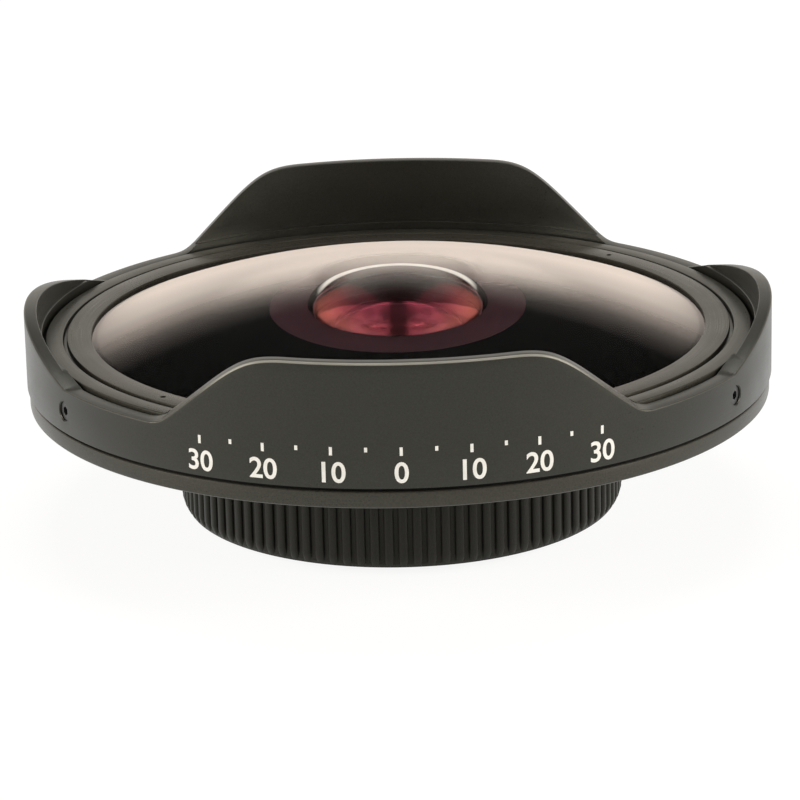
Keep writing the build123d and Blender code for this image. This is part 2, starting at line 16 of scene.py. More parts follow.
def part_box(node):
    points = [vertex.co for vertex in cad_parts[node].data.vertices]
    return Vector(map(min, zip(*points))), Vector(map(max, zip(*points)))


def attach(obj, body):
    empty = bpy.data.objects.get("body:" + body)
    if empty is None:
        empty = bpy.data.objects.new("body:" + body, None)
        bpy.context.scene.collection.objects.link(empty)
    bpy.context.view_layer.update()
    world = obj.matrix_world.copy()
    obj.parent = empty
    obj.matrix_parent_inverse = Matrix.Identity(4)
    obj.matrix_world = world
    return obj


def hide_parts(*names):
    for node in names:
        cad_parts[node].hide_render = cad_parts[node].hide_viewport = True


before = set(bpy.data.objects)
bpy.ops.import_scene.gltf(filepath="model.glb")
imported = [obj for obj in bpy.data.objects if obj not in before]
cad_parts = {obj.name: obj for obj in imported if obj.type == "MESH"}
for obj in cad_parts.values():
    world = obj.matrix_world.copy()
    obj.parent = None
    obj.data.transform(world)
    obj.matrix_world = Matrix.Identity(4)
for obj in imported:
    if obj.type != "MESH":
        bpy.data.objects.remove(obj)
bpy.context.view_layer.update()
MM = 0.001
print("pieces:", len(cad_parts))

# %% [markdown]
# Sizes
#
# A piece made here stands exactly where its CAD node stands, so it is drawn from the same
# sizes. They are radii and heights above the rear face of the thread collar, in millimetres.
# The heights that matter most are read back from the frame, which keeps the two in step.

# %% Sizes of the hood, the housing and the front glass
def low_high(node):
    """Lowest and highest point of a CAD node, in millimetres."""
    low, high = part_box(node)
    return low.z / MM, high.z / MM


HOOD_RADIUS, HOOD_GUIDE, HOOD_BORE, PETAL_BORE = 41.5, 39.25, 39.6, 40.05
SHORT_RISE = 3.75
FRONT_CURVE, FRONT_RADIUS = 93.0, 35.5
HOLLOW_CURVE, AXIS_THICKNESS = 9.3, 1.0
hood_bottom, tall_top = low_high("petal_hood")
notch_floor = hood_bottom + 4.85
ledge = notch_floor + 1.1
screw_height = hood_bottom + 2.45
flange_top, washer_top = low_high("hood_washer")
spigot_bottom, rim_top = low_high("front_housing")
ring_top = low_high("front_retaining_ring")[1]
glass_rear, glass_top = low_high("front_element")
hollow_centre = glass_top - AXIS_THICKNESS - HOLLOW_CURVE
barrel_bottom, barrel_top = low_high("rear_barrel")
print("hood from", round(hood_bottom, 2), "to", round(tall_top, 2), "mm")
print("front glass from", round(glass_rear, 2), "to", round(glass_top, 2), "mm")

# %% [markdown]
# Turning a piece
#
# Nearly every piece of a lens comes off a lathe. A lathe piece is an outline of radius and
# height, turned once round the axis. Sharp corners never look real, because a real edge is
# broken by a fine chamfer that catches the light, so the outline's corners are rounded first.
# Blender's Screw modifier could turn the outline too; plain mesh code is shorter here and
# leaves nothing to apply.

# %% Outlines with rounded corners
def rounded(outline, steps=3):
    """Closed outline of (radius, height, rounding) points with each corner made an arc."""
    points = []
    count = len(outline)
    for i, (r, z, rounding) in enumerate(outline):
        corner = Vector((r, z))
        before = Vector(outline[i - 1][:2]) - corner
        after = Vector(outline[(i + 1) % count][:2]) - corner
        angle = before.angle(after)
        if rounding <= 0 or angle > pi - 0.02:
            points.append((r, z))
            continue
        reach = min(rounding / tan(angle / 2), before.length * 0.45, after.length * 0.45)
        start = corner + before.normalized() * reach
        end = corner + after.normalized() * reach
        for step in range(steps + 1):
            t = step / steps
            point = start * (1 - t) ** 2 + corner * 2 * t * (1 - t) + end * t * t
            points.append((point.x, point.y))
    return points


def band(inner, outer, low, high, rounding, upper_rounding=None):
    """Outline of a plain ring with a rectangular section."""
    upper = upper_rounding or rounding
    return [(inner, low, rounding), (outer, low, rounding), (outer, high, upper), (inner, high, upper)]


def cap(curve, radius):
    """Height of a spherical cap of that curvature over a circle of that radius."""
    return curve - sqrt(curve * curve - radius * radius)


# %% Meshes from outlines, and pieces from meshes
def turned_mesh(name, points, segments=256):
    """Mesh turned about Z from (radius, height) points in millimetres; points on the axis close it."""
    on_axis = [r < 1e-6 for r, _ in points]
    verts, rows = [], []
    for (r, z), axis in zip(points, on_axis):
        if axis:
            rows.append([len(verts)] * segments)
            verts.append((0, 0, z * MM))
        else:
            rows.append([len(verts) + i for i in range(segments)])
            for i in range(segments):
                turn = 2 * pi * i / segments
                verts.append((r * cos(turn) * MM, r * sin(turn) * MM, z * MM))
    faces = []
    for k in range(len(points)):
        following = (k + 1) % len(points)
        if on_axis[k] and on_axis[following]:
            continue
        lower, upper = rows[k], rows[following]
        for i in range(segments):
            j = (i + 1) % segments
            face = [lower[i], lower[j], upper[j], upper[i]]
            faces.append([v for n, v in enumerate(face) if v not in face[:n]])
    mesh = bpy.data.meshes.new(name)
    mesh.from_pydata(verts, [], faces)
    mesh.validate()
    return mesh


def linked(name, data):
    """New object in the scene."""
    thing = bpy.data.objects.new(name, data)
    bpy.context.scene.collection.objects.link(thing)
    return thing


def applied(thing, name):
    """Plain mesh of an object with its modifiers applied; the object itself goes."""
    bpy.context.view_layer.update()
    made = bpy.data.meshes.new_from_object(thing.evaluated_get(bpy.context.evaluated_depsgraph_get()))
    bpy.data.objects.remove(thing)
    made.name = name
    return made


def finish_mesh(mesh, finish, crease):
    """Smooth faces, with real edges kept sharp, and one finish."""
    mesh.polygons.foreach_set("use_smooth", [True] * len(mesh.polygons))
    mesh.set_sharp_from_angle(angle=radians(crease))
    mesh.materials.clear()
    mesh.materials.append(finish)
    mesh.update()


def place(name, mesh, finish, crease, body, *nodes, slot=None):
    """A piece with its finish, that rides on a body and stands for CAD nodes."""
    finish_mesh(mesh, finish, crease)
    piece = linked(name, mesh)
    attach(piece, body)
    if nodes:
        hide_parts(*nodes)
    print(name, "faces:", len(mesh.polygons))


# %% [markdown]
# Shader maths as plain expressions
#
# A finish is a small sum: grain times strength, plus dust, and so on. Building each Math
# node by hand hides that sum. One small class wraps a socket, so that writing `a * 2 + b`
# adds the Math nodes, and a recipe adds any other node from its type, its settings and its
# inputs. The same two classes serve the Geometry Nodes trees below.

# %% A socket that can be used in sums
class Socket:
    """An output socket that adds Math nodes when it is used in a sum."""

    def __init__(self, recipe, socket):
        self.recipe, self.socket = recipe, socket

    def math(self, operation, *others):
        return self.recipe.add("ShaderNodeMath", {"operation": operation}, [self, *others])

    def __add__(self, other):
        return self.math("ADD", other)

    def __sub__(self, other):
        return self.math("SUBTRACT", other)

    def __mul__(self, other):
        return self.math("MULTIPLY", other)

    def __truediv__(self, other):
        return self.math("DIVIDE", other)

    def __pow__(self, other):
        return self.math("POWER", other)

    def __rsub__(self, other):
        return self.recipe.add("ShaderNodeMath", {"operation": "SUBTRACT"}, [other, self])

    __radd__, __rmul__ = __add__, __mul__

    def clamp(self, low=0.0, high=1.0):
        return self.math("MAXIMUM", low).math("MINIMUM", high)

    def step(self, low, high):
        """0 below low and 1 above high, with a smooth rise between; a fall where low is above high."""
        inputs = {"Value": self, "From Min": low, "From Max": high}
        return self.recipe.add("ShaderNodeMapRange", {"interpolation_type": "SMOOTHSTEP"}, inputs)

    def output(self, name):
        return Socket(self.recipe, self.socket.node.outputs[name])


# %% A recipe that adds nodes to a tree
class Recipe:
    """Adds nodes to one tree; owner is the material that the tree belongs to."""

    def __init__(self, tree, owner=None):
        self.tree, self.owner = tree, owner

    def add(self, kind, settings=None, inputs=(), output=0):
        """A node from its type, its settings and the values or links of its sockets."""
        node = self.tree.nodes.new(kind)
        for name, value in (settings or {}).items():
            if name == "stops":
                ramp = node.color_ramp
                while len(ramp.elements) < len(value):
                    ramp.elements.new(0.5)
                for element, (position, share) in zip(ramp.elements, value):
                    element.position = position
                    element.color = (share, share, share, 1)
            else:
                setattr(node, name, value)
        pairs = inputs.items() if isinstance(inputs, dict) else enumerate(inputs)
        for key, value in pairs:
            if isinstance(value, Socket):
                self.tree.links.new(value.socket, node.inputs[key])
            elif value is not None:
                node.inputs[key].default_value = value
        return Socket(self, node.outputs[output]) if node.outputs else node

    def where(self):
        """Place on the piece, in metres."""
        return self.add("ShaderNodeTexCoord").output("Object")

    def split(self, vector):
        """The x, y and z of a vector."""
        xyz = self.add("ShaderNodeSeparateXYZ", {}, [vector])
        return xyz, xyz.output("Y"), xyz.output("Z")

    def vector(self, x, y, z):
        return self.add("ShaderNodeCombineXYZ", {}, [x, y, z])

    def noise(self, vector, scale, detail=2.0, roughness=0.5):
        inputs = {"Vector": vector, "Scale": scale, "Detail": detail, "Roughness": roughness}
        return self.add("ShaderNodeTexNoise", {"noise_dimensions": "3D"}, inputs)

    def blend(self, factor, first, second):
        """One colour mixed into another."""
        return self.add("ShaderNodeMix", {"data_type": "RGBA"}, {0: factor, 6: first, 7: second}, output=2)

    def bump(self, height, strength, depth):
        """Normal with a bump of that depth in millimetres."""
        inputs = {"Strength": strength, "Distance": depth * MM, "Height": height}
        return self.add("ShaderNodeBump", {}, inputs)

    def bsdf(self, kind, inputs):
        return self.add("ShaderNodeBsdf" + kind, {}, inputs)

    def mix(self, share, first, second):
        """One shader mixed into another."""
        return self.add("ShaderNodeMixShader", {}, [share, first, second])

    def surface(self, shader):
        """Ends a material with its shader, and gives the material."""
        self.add("ShaderNodeOutputMaterial", {}, {"Surface": shader})
        return self.owner


def material(name):
    """Recipe for a new, empty material."""
    made = bpy.data.materials.new(name)
    made.use_nodes = True
    made.node_tree.nodes.clear()
    return Recipe(made.node_tree, made)


def scaled(colour, share):
    """Colour made darker or lighter, with full alpha."""
    return (*(c * share for c in colour), 1)


# %% [markdown]
# Black anodised aluminium
#
# The metal is turned, then anodised and dyed black. The dye leaves a hard, very dark, satin
# skin that shines a little at every angle and strongly at a glancing one. The tool's fine
# rings stay visible under it: rings of constant radius on flat faces and of constant height
# on walls. So the grain is noise read at (radius, height), hardly changing with the angle,
# and it drives a little roughness and bump. A second, soft noise makes the dye uneven.
#
# A pale bare-metal colour is painted along the outer edge of the tall petals. It is partly wear, where
# everything rubs, and partly a painted highlight standing in for the light the rounded edge catches.
# An attribute marks that edge, and the height keeps the painted rim off the low petals.

# %% Anodised finish
RING_WIDTH = 0.09
# Bare metal colour painted on the rim, part wear and part painted highlight; it fades in between these two
# heights.
BARE_METAL_AND_HIGHLIGHT = (0.32, 0.31, 0.28, 1)
WEAR_AND_HIGHLIGHT_STARTS, WEAR_AND_HIGHLIGHT_FULL = 24.0, 28.5


def anodised(name, colour, roughness, grain, mottle=0.25, tint=(0.9, 0.9, 0.78), specular=0.5, worn=None):
    """Satin black aluminium with turned grain; worn names an attribute that is 1 on the edge that is painted
    pale, for wear and for a painted highlight.
    """
    r = material(name)
    where = r.where()
    x, y, z = r.split(where)
    radius = (x * x + y * y) ** 0.5
    angle = y.math("ARCTAN2", x)
    per_ring = 1 / (RING_WIDTH * MM)
    rings = r.noise(r.vector(radius * per_ring, angle * 2.5, z * per_ring), 1.0, 3.0, 0.6)
    sparkle = r.noise(where, 6000.0, 1.0)
    dye = r.noise(where, 140.0, 3.0, 0.55)
    shade = ((rings - 0.5) * grain + (sparkle - 0.5) * 1.5 + (dye - 0.5) * mottle + 0.5).clamp()
    base = r.blend(shade, scaled(colour, 0.5), scaled(colour, 1.65))
    # The marked edge is painted pale: partly wear, partly a painted highlight of the light its rounded edge
    # catches.
    if worn:
        edge = r.add("ShaderNodeAttribute", {"attribute_name": worn}).output("Fac").step(0.93, 1.0)
        rubbed = edge * (z.step(WEAR_AND_HIGHLIGHT_STARTS * MM, WEAR_AND_HIGHLIGHT_FULL * MM) * 0.88 + 0.12)
        base = r.blend(rubbed * (0.6 + dye * 0.4), base, BARE_METAL_AND_HIGHLIGHT)
    gloss = (rings - 0.5) * grain * 0.4 + (dye - 0.5) * 0.16 + (sparkle - 0.5) * 0.12 + roughness
    inputs = {
        "Base Color": base,
        "Roughness": gloss.clamp(0.12, 0.9),
        "Normal": r.bump(rings * grain + sparkle * 0.35, 0.35, 0.012),
        "Specular IOR Level": specular,
        "Specular Tint": (*tint, 1),
    }
    return r.surface(r.bsdf("Principled", inputs))


# The housing's black is lighter than the hood's: a lit copy that paints the light the flange gets from the
# white floor. The grip's black is darker: partly its own tone, partly painted shade under the flange.
GRIP_COLOUR_AND_SHADE, GRIP_TINT = (0.009, 0.009, 0.0078), (0.8, 0.79, 0.68)
finishes = {
    "hood_anodised": anodised("anodised_hood", (0.0105, 0.0105, 0.0088), 0.34, 0.3, worn="rubbed"),
    "housing_anodised": anodised("anodised_housing_floor_lit", (0.021, 0.0195, 0.0155), 0.33, 0.5),
    "ring_anodised": anodised("anodised_ring", (0.022, 0.0195, 0.016), 0.32, 0.8),
    "grip_anodised": anodised("anodised_grip_and_shade", GRIP_COLOUR_AND_SHADE, 0.5, 0.25, tint=GRIP_TINT, specular=0.3),
    "collar_anodised": anodised("anodised_collar", (0.012, 0.0115, 0.011), 0.33, 0.4),
    "inner_anodised": anodised("anodised_inner", (0.006, 0.006, 0.006), 0.6, 0.3),
}
print("anodised finishes:", len(finishes))

# %% [markdown]
# Matt paint, rubber and plastic
#
# Inside a lens everything that is not glass is as dull as it can be, so that no stray light
# gets through. The baffle is painted, the seal is rubber and the slide washer is plastic.
# They share one recipe: very dark, rough, with a fine grain in the colour and the bump.

# %% Matt finishes
def matt(name, colour, roughness, scale, depth, specular):
    """Dull, finely grained finish; scale in grains per metre and depth in millimetres."""
    r = material(name)
    where = r.where()
    grain = r.noise(where, scale, 3.0, 0.6)
    cloud = r.noise(where, scale * 0.05)
    inputs = {
        "Base Color": r.blend((grain * 0.6 + cloud * 0.4).clamp(), scaled(colour, 0.6), scaled(colour, 1.5)),
        "Roughness": (roughness + (grain - 0.5) * 0.2).clamp(0.2, 1.0),
        "Normal": r.bump(grain, 0.5, depth),
        "Specular IOR Level": specular,
    }
    return r.surface(r.bsdf("Principled", inputs))


finishes["baffle_paint"] = matt("baffle_paint", (0.004, 0.004, 0.004), 0.9, 5000, 0.02, 0.1)
finishes["seal_rubber"] = matt("seal_rubber", (0.012, 0.012, 0.012), 0.75, 4000, 0.02, 0.3)
finishes["washer_plastic"] = matt("washer_plastic", (0.004, 0.004, 0.004), 0.7, 3000, 0.01, 0.2)
edge_ink = matt("edge_ink", (0.003, 0.003, 0.003), 0.8, 4000, 0.01, 0.05)
print("finishes:", len(finishes))

# %% [markdown]
# Coated glass
#
# A lens surface carries a coating that takes nearly all reflection away when light meets it
# head on, and fails at a glancing angle, where it mirrors more. Layer Weight's Facing measures
# that angle, and a ramp turns it into a share, so the look follows the surface in every view.
#
# The dome gets a painted reflection: a dull cream film, lit like paint, that stands in for the
# pale glancing reflection; it starts about 10 mm from the axis and grows to the edge. The
# flat rear of the same glass is inked outside and half clear inside, with a pale film that
# shows in a narrow range of slants near the axis; the clear zone also carries a dull purple
# film that paints the glow of the coated glass beneath. The deep hollow tints what is seen
# through it, magenta in the middle and orange to the side, with a pale arc along its top and
# a near-black film that paints shade along its outline. The second element mirrors the room
# through the hollow, and its normal is tipped, so that it shows as two red patches of light.
# The rear pair has a faint green coating.

# %% Shares by the angle a surface is seen at
PAINTED_REFLECTION_STOPS = [(0.62, 0.0), (0.64, 0.02), (0.653, 0.035), (0.67, 0.07), (0.685, 0.106), (0.704, 0.21)]
PAINTED_REFLECTION_STOPS += [(0.721, 0.28), (0.744, 0.447), (0.763, 0.53), (0.791, 0.69), (0.815, 0.765)]
PAINTED_REFLECTION_STOPS += [(0.853, 0.89), (0.89, 1.0)]
REAR_STOPS = [(0.0, 0.0), (0.15, 0.0), (0.168, 0.8), (0.192, 0.67), (0.204, 0.61), (0.216, 0.46)]
REAR_STOPS += [(0.226, 0.39), (0.236, 0.24), (0.244, 0.17), (0.253, 0.08), (0.26, 0.04), (0.275, 0.0)]
HAZE_STOPS = [(0.0, 0.0), (0.02, 0.012), (0.10, 0.065), (0.21, 0.145), (0.37, 0.27), (0.57, 0.42)]
ARC_STOPS = [(0.55, 0.0), (0.63, 0.95)]
ORANGE_STOPS = [(0.08, 0.0), (0.45, 1.0)]
PAINTED_SHADE_EDGE_STOPS = [(0.68, 0.0), (0.76, 1.0)]


def facing_ramp(r, stops, more=None):
    """Share from 0 to 1 by the angle a surface is seen at: 0 is head on, 1 is from the side."""
    facing = r.add("ShaderNodeLayerWeight", {}, {"Blend": 0.5}).output("Facing")
    if more:
        facing = (facing + more).clamp()
    return r.add("ShaderNodeValToRGB", {"stops": stops}, {"Fac": facing})


def axis_distance(r, where):
    """Distance from the lens axis, in millimetres."""
    x, y, _ = r.split(where)
    return (x * x + y * y) ** 0.5 / MM


# %% The layers that the glass finishes are mixed from
GLASS_IOR, HOLLOW_IOR = 1.5, 1.06


def see_through(r, kind, colour, ior=GLASS_IOR):
    """Polished glass: kind is Glass, or Refraction where nothing is mirrored."""
    return r.bsdf(kind, {"Color": (*colour, 1), "Roughness": 0.0, "IOR": ior})


def mirror_film(r, colour, roughness, normal=None):
    """Thin metal-like coating that mirrors in its own colour."""
    inputs = {"Base Color": (*colour, 1), "Roughness": roughness, "Metallic": 1.0, "Normal": normal}
    return r.bsdf("Principled", inputs)


def dull_film(r, colour, roughness, specular=0.0):
    """Film or ink that hardly shines."""
    inputs = {"Base Color": colour, "Roughness": roughness, "Specular IOR Level": specular}
    return r.bsdf("Principled", inputs)


# %% Finishes of the front glass
def coated_dome(name):
    """Outer surface of the front glass: hardly mirrors, and at a glance turns cream through a painted
    reflection, a dull lit film.
    """
    r = material(name)
    where = r.where()
    haze = r.noise(where, 60.0)
    coated = r.mix(0.05, see_through(r, "Refraction", (1, 1, 1)), see_through(r, "Glass", (1, 1, 1)))
    distance = axis_distance(r, where)
    # The cream film is a painted reflection: a dull, lit colour standing in for the pale glancing reflection,
    # mixed in by the angle and away from the axis.
    painted_reflection = facing_ramp(r, PAINTED_REFLECTION_STOPS, (haze - 0.5) * 0.004 + distance * 0.00165 - 0.02)
    return r.surface(r.mix(painted_reflection * distance.step(7.8, 10.5), coated, dull_film(r, (0.69, 0.61, 0.56, 1), 0.6)))


def rear_film(name, dark, light, clear_share=0.0):
    """Flat rear of the front glass: ink, or clear glass half covered by a dull film, and a pale mirror where
    it is seen at a slant.
    """
    r = material(name)
    where = r.where()
    haze = r.noise(where, 60.0)
    behind = dull_film(r, r.blend(r.noise(where, 4000.0), (*dark, 1), (*light, 1)), 0.8, 0.05)
    if clear_share:
        behind = r.mix(clear_share, behind, see_through(r, "Refraction", (0.9, 0.8, 0.9)))
    share = facing_ramp(r, REAR_STOPS, (haze - 0.5) * 0.004) * axis_distance(r, where).step(22, 17)
    return r.surface(r.mix(share, behind, mirror_film(r, (0.86, 0.75, 0.66), 0.55)))


def hollow_glass(name):
    """The deep hollow: magenta head on, orange to the side, shade painted along its outline, with a pale arc
    and haze on top.
    """
    r = material(name)
    height = r.split(r.where())[2]
    magenta = see_through(r, "Refraction", (1.0, 0.45, 0.51), HOLLOW_IOR)
    orange = see_through(r, "Refraction", (1.0, 0.54, 0.46), HOLLOW_IOR)
    passing = r.mix(facing_ramp(r, ORANGE_STOPS), magenta, orange)
    # A near-black dull film along the hollow's outline paints shade over what is seen through it.
    passing = r.mix(facing_ramp(r, PAINTED_SHADE_EDGE_STOPS), passing, dull_film(r, (0.008, 0.006, 0.006, 1), 0.8))
    pale = mirror_film(r, (1.0, 0.93, 0.84), 0.5, r.vector(0.0, 0.0, 1.0))
    arc_low, arc_high, haze_low, haze_high = ((hollow_centre + rise) * MM for rise in (3.4, 5.2, 5.3, 9.0))
    arc = facing_ramp(r, ARC_STOPS) * height.step(arc_low, arc_high)
    haze = facing_ramp(r, HAZE_STOPS) * height.step(haze_low, haze_high)
    return r.surface(r.mix(arc.math("MAXIMUM", haze), passing, pale))


dome_glass = coated_dome("front_glass_painted_reflection")
finishes["front_glass"] = hollow_glass("front_glass_hollow")
front_rear = rear_film("front_glass_rear", (0.002, 0.002, 0.002), (0.005, 0.005, 0.0045))
# On the clear zone the dull film is dark purple: a painted reflection of the glow of the coated glass
# beneath, over half clear glass.
front_clear = rear_film("front_glass_clear_painted_glow", (0.065, 0.032, 0.038), (0.085, 0.042, 0.048), 0.5)


# %% Finishes of the inner glass
def tipped_mirror(name, tint, share):
    """Second glass: a coating that mirrors the room, a little flatter than the glass itself."""
    r = material(name)
    where = r.where()
    haze = r.noise(where, 60.0)
    x, y, _ = r.split(where)
    tip = r.vector(x * 15.0, y * 6.0 - 0.055, 1.0)
    upright = r.add("ShaderNodeVectorMath", {"operation": "NORMALIZE"}, [tip])
    shine = mirror_film(r, (1, 1, 1), 0.03, upright)
    return r.surface(r.mix((haze - 0.5) * 0.04 + share, see_through(r, "Glass", tint), shine))


def mirrored_glass(name, tint, mirror, share):
    """Rear pair: full glass with a coating that mirrors in its own colour."""
    r = material(name)
    haze = r.noise(r.where(), 60.0)
    shine = r.bsdf("Anisotropic", {"Color": (*mirror, 1), "Roughness": 0.02})
    return r.surface(r.mix((haze - 0.5) * 0.02 + share, see_through(r, "Glass", tint), shine))


finishes["second_glass"] = tipped_mirror("second_glass", (0.85, 0.72, 0.8), 0.028)
finishes["rear_glass"] = mirrored_glass("rear_glass", (0.96, 0.98, 0.97), (0.45, 0.9, 0.55), 0.04)
print("finishes by slot:", sorted(finishes))

# %% [markdown]
# The petal hood
#
# The hood is a ring whose upper edge runs up into four petals: two tall ones with flat tops
# and sloping sides, and two low arcs between them. Its edge follows a rule, so Geometry Nodes
# make it. A plain ring as high as the tallest petal is turned first. Each of its points has
# a weight that says how far it goes with the edge: 0 at the foot, 1 at the rim. The tree works
# out the edge's height from a point's x and y, and lowers the point by its weight times what
# the edge lacks. The smooth minimum and maximum round the petals' corners.

# %% The ring blank that the petals are cut from
EDGE = 0.16
PAINT_DEPTH = 0.015
HOOD_WALL = HOOD_RADIUS - PAINT_DEPTH
PETAL_COLUMNS = 1080
WALL_START, WALL_ROWS = hood_bottom + 3.4, 8


def hood_blank():
    """Turned ring with the weights 'follow' (rim), 'bore' (petal's inner wall) and one for the outer edge,
    where wear and a painted highlight go.
    """
    crest = tall_top - EDGE
    step = EDGE / 3
    outline = [(HOOD_GUIDE, hood_bottom, 0, 0), (HOOD_WALL - 0.15, hood_bottom, 0, 0)]
    outline += [(HOOD_WALL - 0.04, hood_bottom + 0.04, 0, 0), (HOOD_WALL, hood_bottom + 0.15, 0, 0)]
    for row in range(WALL_ROWS):
        share = row / WALL_ROWS
        outline.append((HOOD_WALL, WALL_START + (crest - WALL_START) * share, share, 0))
    for middle, bore, start in ((HOOD_WALL - EDGE, 0, 0), (PETAL_BORE + EDGE, 1, 90)):
        for turn in range(start, start + 91, 30):
            a = radians(turn)
            outline.append((middle + EDGE * cos(a), crest + EDGE * sin(a), 1, bore))
    outline += [(PETAL_BORE, ledge + step, 0, 1), (PETAL_BORE, ledge, 0, 1), (HOOD_BORE + step, ledge, 0, 0)]
    outline += [(HOOD_BORE, ledge - step, 0, 0), (HOOD_BORE, hood_bottom + 4.25, 0, 0)]
    outline += [(HOOD_GUIDE, hood_bottom + 3.9, 0, 0), (HOOD_GUIDE, hood_bottom + 0.2, 0, 0)]
    mesh = turned_mesh("petal_hood_blank", [(r, z) for r, z, _, _ in outline], PETAL_COLUMNS)
    weights = {
        "follow": [follow for _, _, follow, _ in outline],
        "bore": [bore for _, _, _, bore in outline],
        "rubbed": [follow == 1 and bore == 0 for _, _, follow, bore in outline],
    }
    for name, rows in weights.items():
        values = [float(value) for value in rows for _ in range(PETAL_COLUMNS)]
        mesh.attributes.new(name, "FLOAT", "POINT").data.foreach_set("value", values)
    return mesh


# %% How a Geometry Nodes tree starts, ends and runs
def new_tree(name, *inputs):
    """Recipe of a new tree, and a function that gives its inputs by name."""
    tree = bpy.data.node_groups.new(name, "GeometryNodeTree")
    kinds = {"Geometry": "Geometry", "Count": "Int", "Finish": "Material"}
    for item in ("Geometry", *inputs):
        kind = "NodeSocket" + kinds.get(item, "Float")
        tree.interface.new_socket(item, in_out="INPUT", socket_type=kind)
    tree.interface.new_socket("Geometry", in_out="OUTPUT", socket_type="NodeSocketGeometry")
    g = Recipe(tree)
    return g, g.add("NodeGroupInput").output


def end_tree(g, geometry, finish):
    """Ends a tree in real faces with a finish, and gives the tree."""
    real = g.add("GeometryNodeRealizeInstances", {}, {"Geometry": geometry})
    painted = g.add("GeometryNodeSetMaterial", {}, {"Geometry": real, "Material": finish})
    g.add("NodeGroupOutput", {}, {"Geometry": painted})
    return g.tree


def run_tree(mesh, tree, name, values):
    """Mesh that a tree makes of a mesh, with the tree's inputs given by name."""
    carrier = linked(name, mesh)
    modifier = carrier.modifiers.new("shape", "NODES")
    modifier.node_group = tree
    for item in tree.interface.items_tree:
        if item.in_out == "INPUT" and item.name in values:
            modifier[item.identifier] = values[item.name]
    return applied(carrier, name)


# %% The rule for the hood's edge, as a tree
PETALS = {
    "Top": tall_top,
    "Floor": notch_floor,
    "Tall_half_width": 15.84,
    "Foot_half_width": 25.16,
    "Corner_blend": 4.5,
    "Foot_blend": 1.6,
    "Short_rise": SHORT_RISE,
    "Short_half_width": 20.9,
    "Ledge": ledge,
    "Bore_step": PETAL_BORE - HOOD_BORE,
}


def petal_tree():
    """Geometry Nodes tree that lowers a ring's edge to the outline of four petals."""
    g, size = new_tree("petal_edge", *PETALS)
    x, y, z = g.split(g.add("GeometryNodeInputPosition"))
    follow, bore = (
        g.add("GeometryNodeInputNamedAttribute", {"data_type": "FLOAT"}, {"Name": name})
        for name in ("follow", "bore")
    )
    top, floor = size("Top"), size("Floor")
    slope = (top - floor) / (size("Foot_half_width") - size("Tall_half_width"))
    flank = floor + (size("Foot_half_width") - x.math("ABSOLUTE")) * slope
    tall = flank.math("SMOOTH_MIN", top, size("Corner_blend"))
    rise, half = size("Short_rise"), size("Short_half_width")
    curve = (half * half + rise * rise) / (rise * 2.0)
    reach = y.math("ABSOLUTE").math("MINIMUM", half)
    short = floor + (curve * curve - reach * reach) ** 0.5 - curve + rise
    edge = tall.math("SMOOTH_MAX", floor, size("Foot_blend")).math("MAXIMUM", short)
    height = (z - follow * (top - edge)).math("MINIMUM", edge - EDGE * MM * (1 - follow))
    inward = bore * size("Ledge").math("GREATER_THAN", edge) * size("Bore_step")
    radius = (x * x + y * y) ** 0.5
    scale = (radius - inward) / radius
    position = g.vector(x * scale, y * scale, height)
    moved = g.add("GeometryNodeSetPosition", {}, {"Geometry": size("Geometry"), "Position": position})
    merged = g.add("GeometryNodeMergeByDistance", {}, {"Geometry": moved, "Distance": 0.004 * MM})
    return end_tree(g, merged, finishes["hood_anodised"])


petal_values = {name: value * MM for name, value in PETALS.items()}
hood_mesh = run_tree(hood_blank(), petal_tree(), "petal_hood_shape", petal_values)
print("hood faces:", len(hood_mesh.polygons))

# %% [markdown]
# Holes for the set screws
#
# Three small screws lock the hood. Each sits in a radial hole with a broken edge. Drilling is
# a Boolean: a turned cutter is laid along the hole's axis and taken away from the ring. The
# cutter is one shape, used three times.

# %% Drill the hood
SCREW_AZIMUTHS = (-60.0, 60.0, 180.0)
HOLE_RADIUS, HOLE_START, HOLE_CHAMFER = 1.05, 38.6, 0.13


def outward(azimuth, height):
    """Matrix that lays Z outwards from the lens axis, at a turn from -Y towards +X."""
    turn = radians(azimuth)
    out = Vector((sin(turn), -cos(turn), 0))
    up = Vector((0, 0, 1))
    matrix = Matrix((up.cross(out), up, out)).transposed().to_4x4()
    matrix.translation = Vector((0, 0, height * MM))
    return matrix


def cut(mesh, cutters, name):
    """Mesh with cutter meshes taken away."""
    body = linked(name, mesh)
    helpers = [linked(name + "_cutter", cutter) for cutter in cutters]
    for helper in helpers:
        modifier = body.modifiers.new("hole", "BOOLEAN")
        modifier.operation, modifier.solver, modifier.object = "DIFFERENCE", "EXACT", helper
    made = applied(body, name)
    for helper in helpers:
        bpy.data.objects.remove(helper)
    return made


def drill(azimuth):
    """Cutter for one screw hole with a chamfered mouth."""
    mouth = HOOD_RADIUS - HOLE_CHAMFER
    outline = [(0, HOLE_START), (HOLE_RADIUS, HOLE_START), (HOLE_RADIUS, mouth)]
    outline += [(HOLE_RADIUS + 1.0, mouth + 1.0), (0, mouth + 1.0)]
    cutter = turned_mesh("drill", outline, 64)
    cutter.transform(outward(azimuth, screw_height))
    return cutter


hood_mesh = cut(hood_mesh, [drill(azimuth) for azimuth in SCREW_AZIMUTHS], "petal_hood_drilled")
hood_finish = finishes["hood_anodised"]
place("petal_hood_shell", hood_mesh, hood_finish, 28, "hood", "petal_hood", slot="hood_anodised")

# %% [markdown]
# Turned pieces of the housing
#
# Each piece is an outline with its own edge rounding. The flange's edges get the largest one,
# because its bright edge lines are what the eye finds first under the hood.

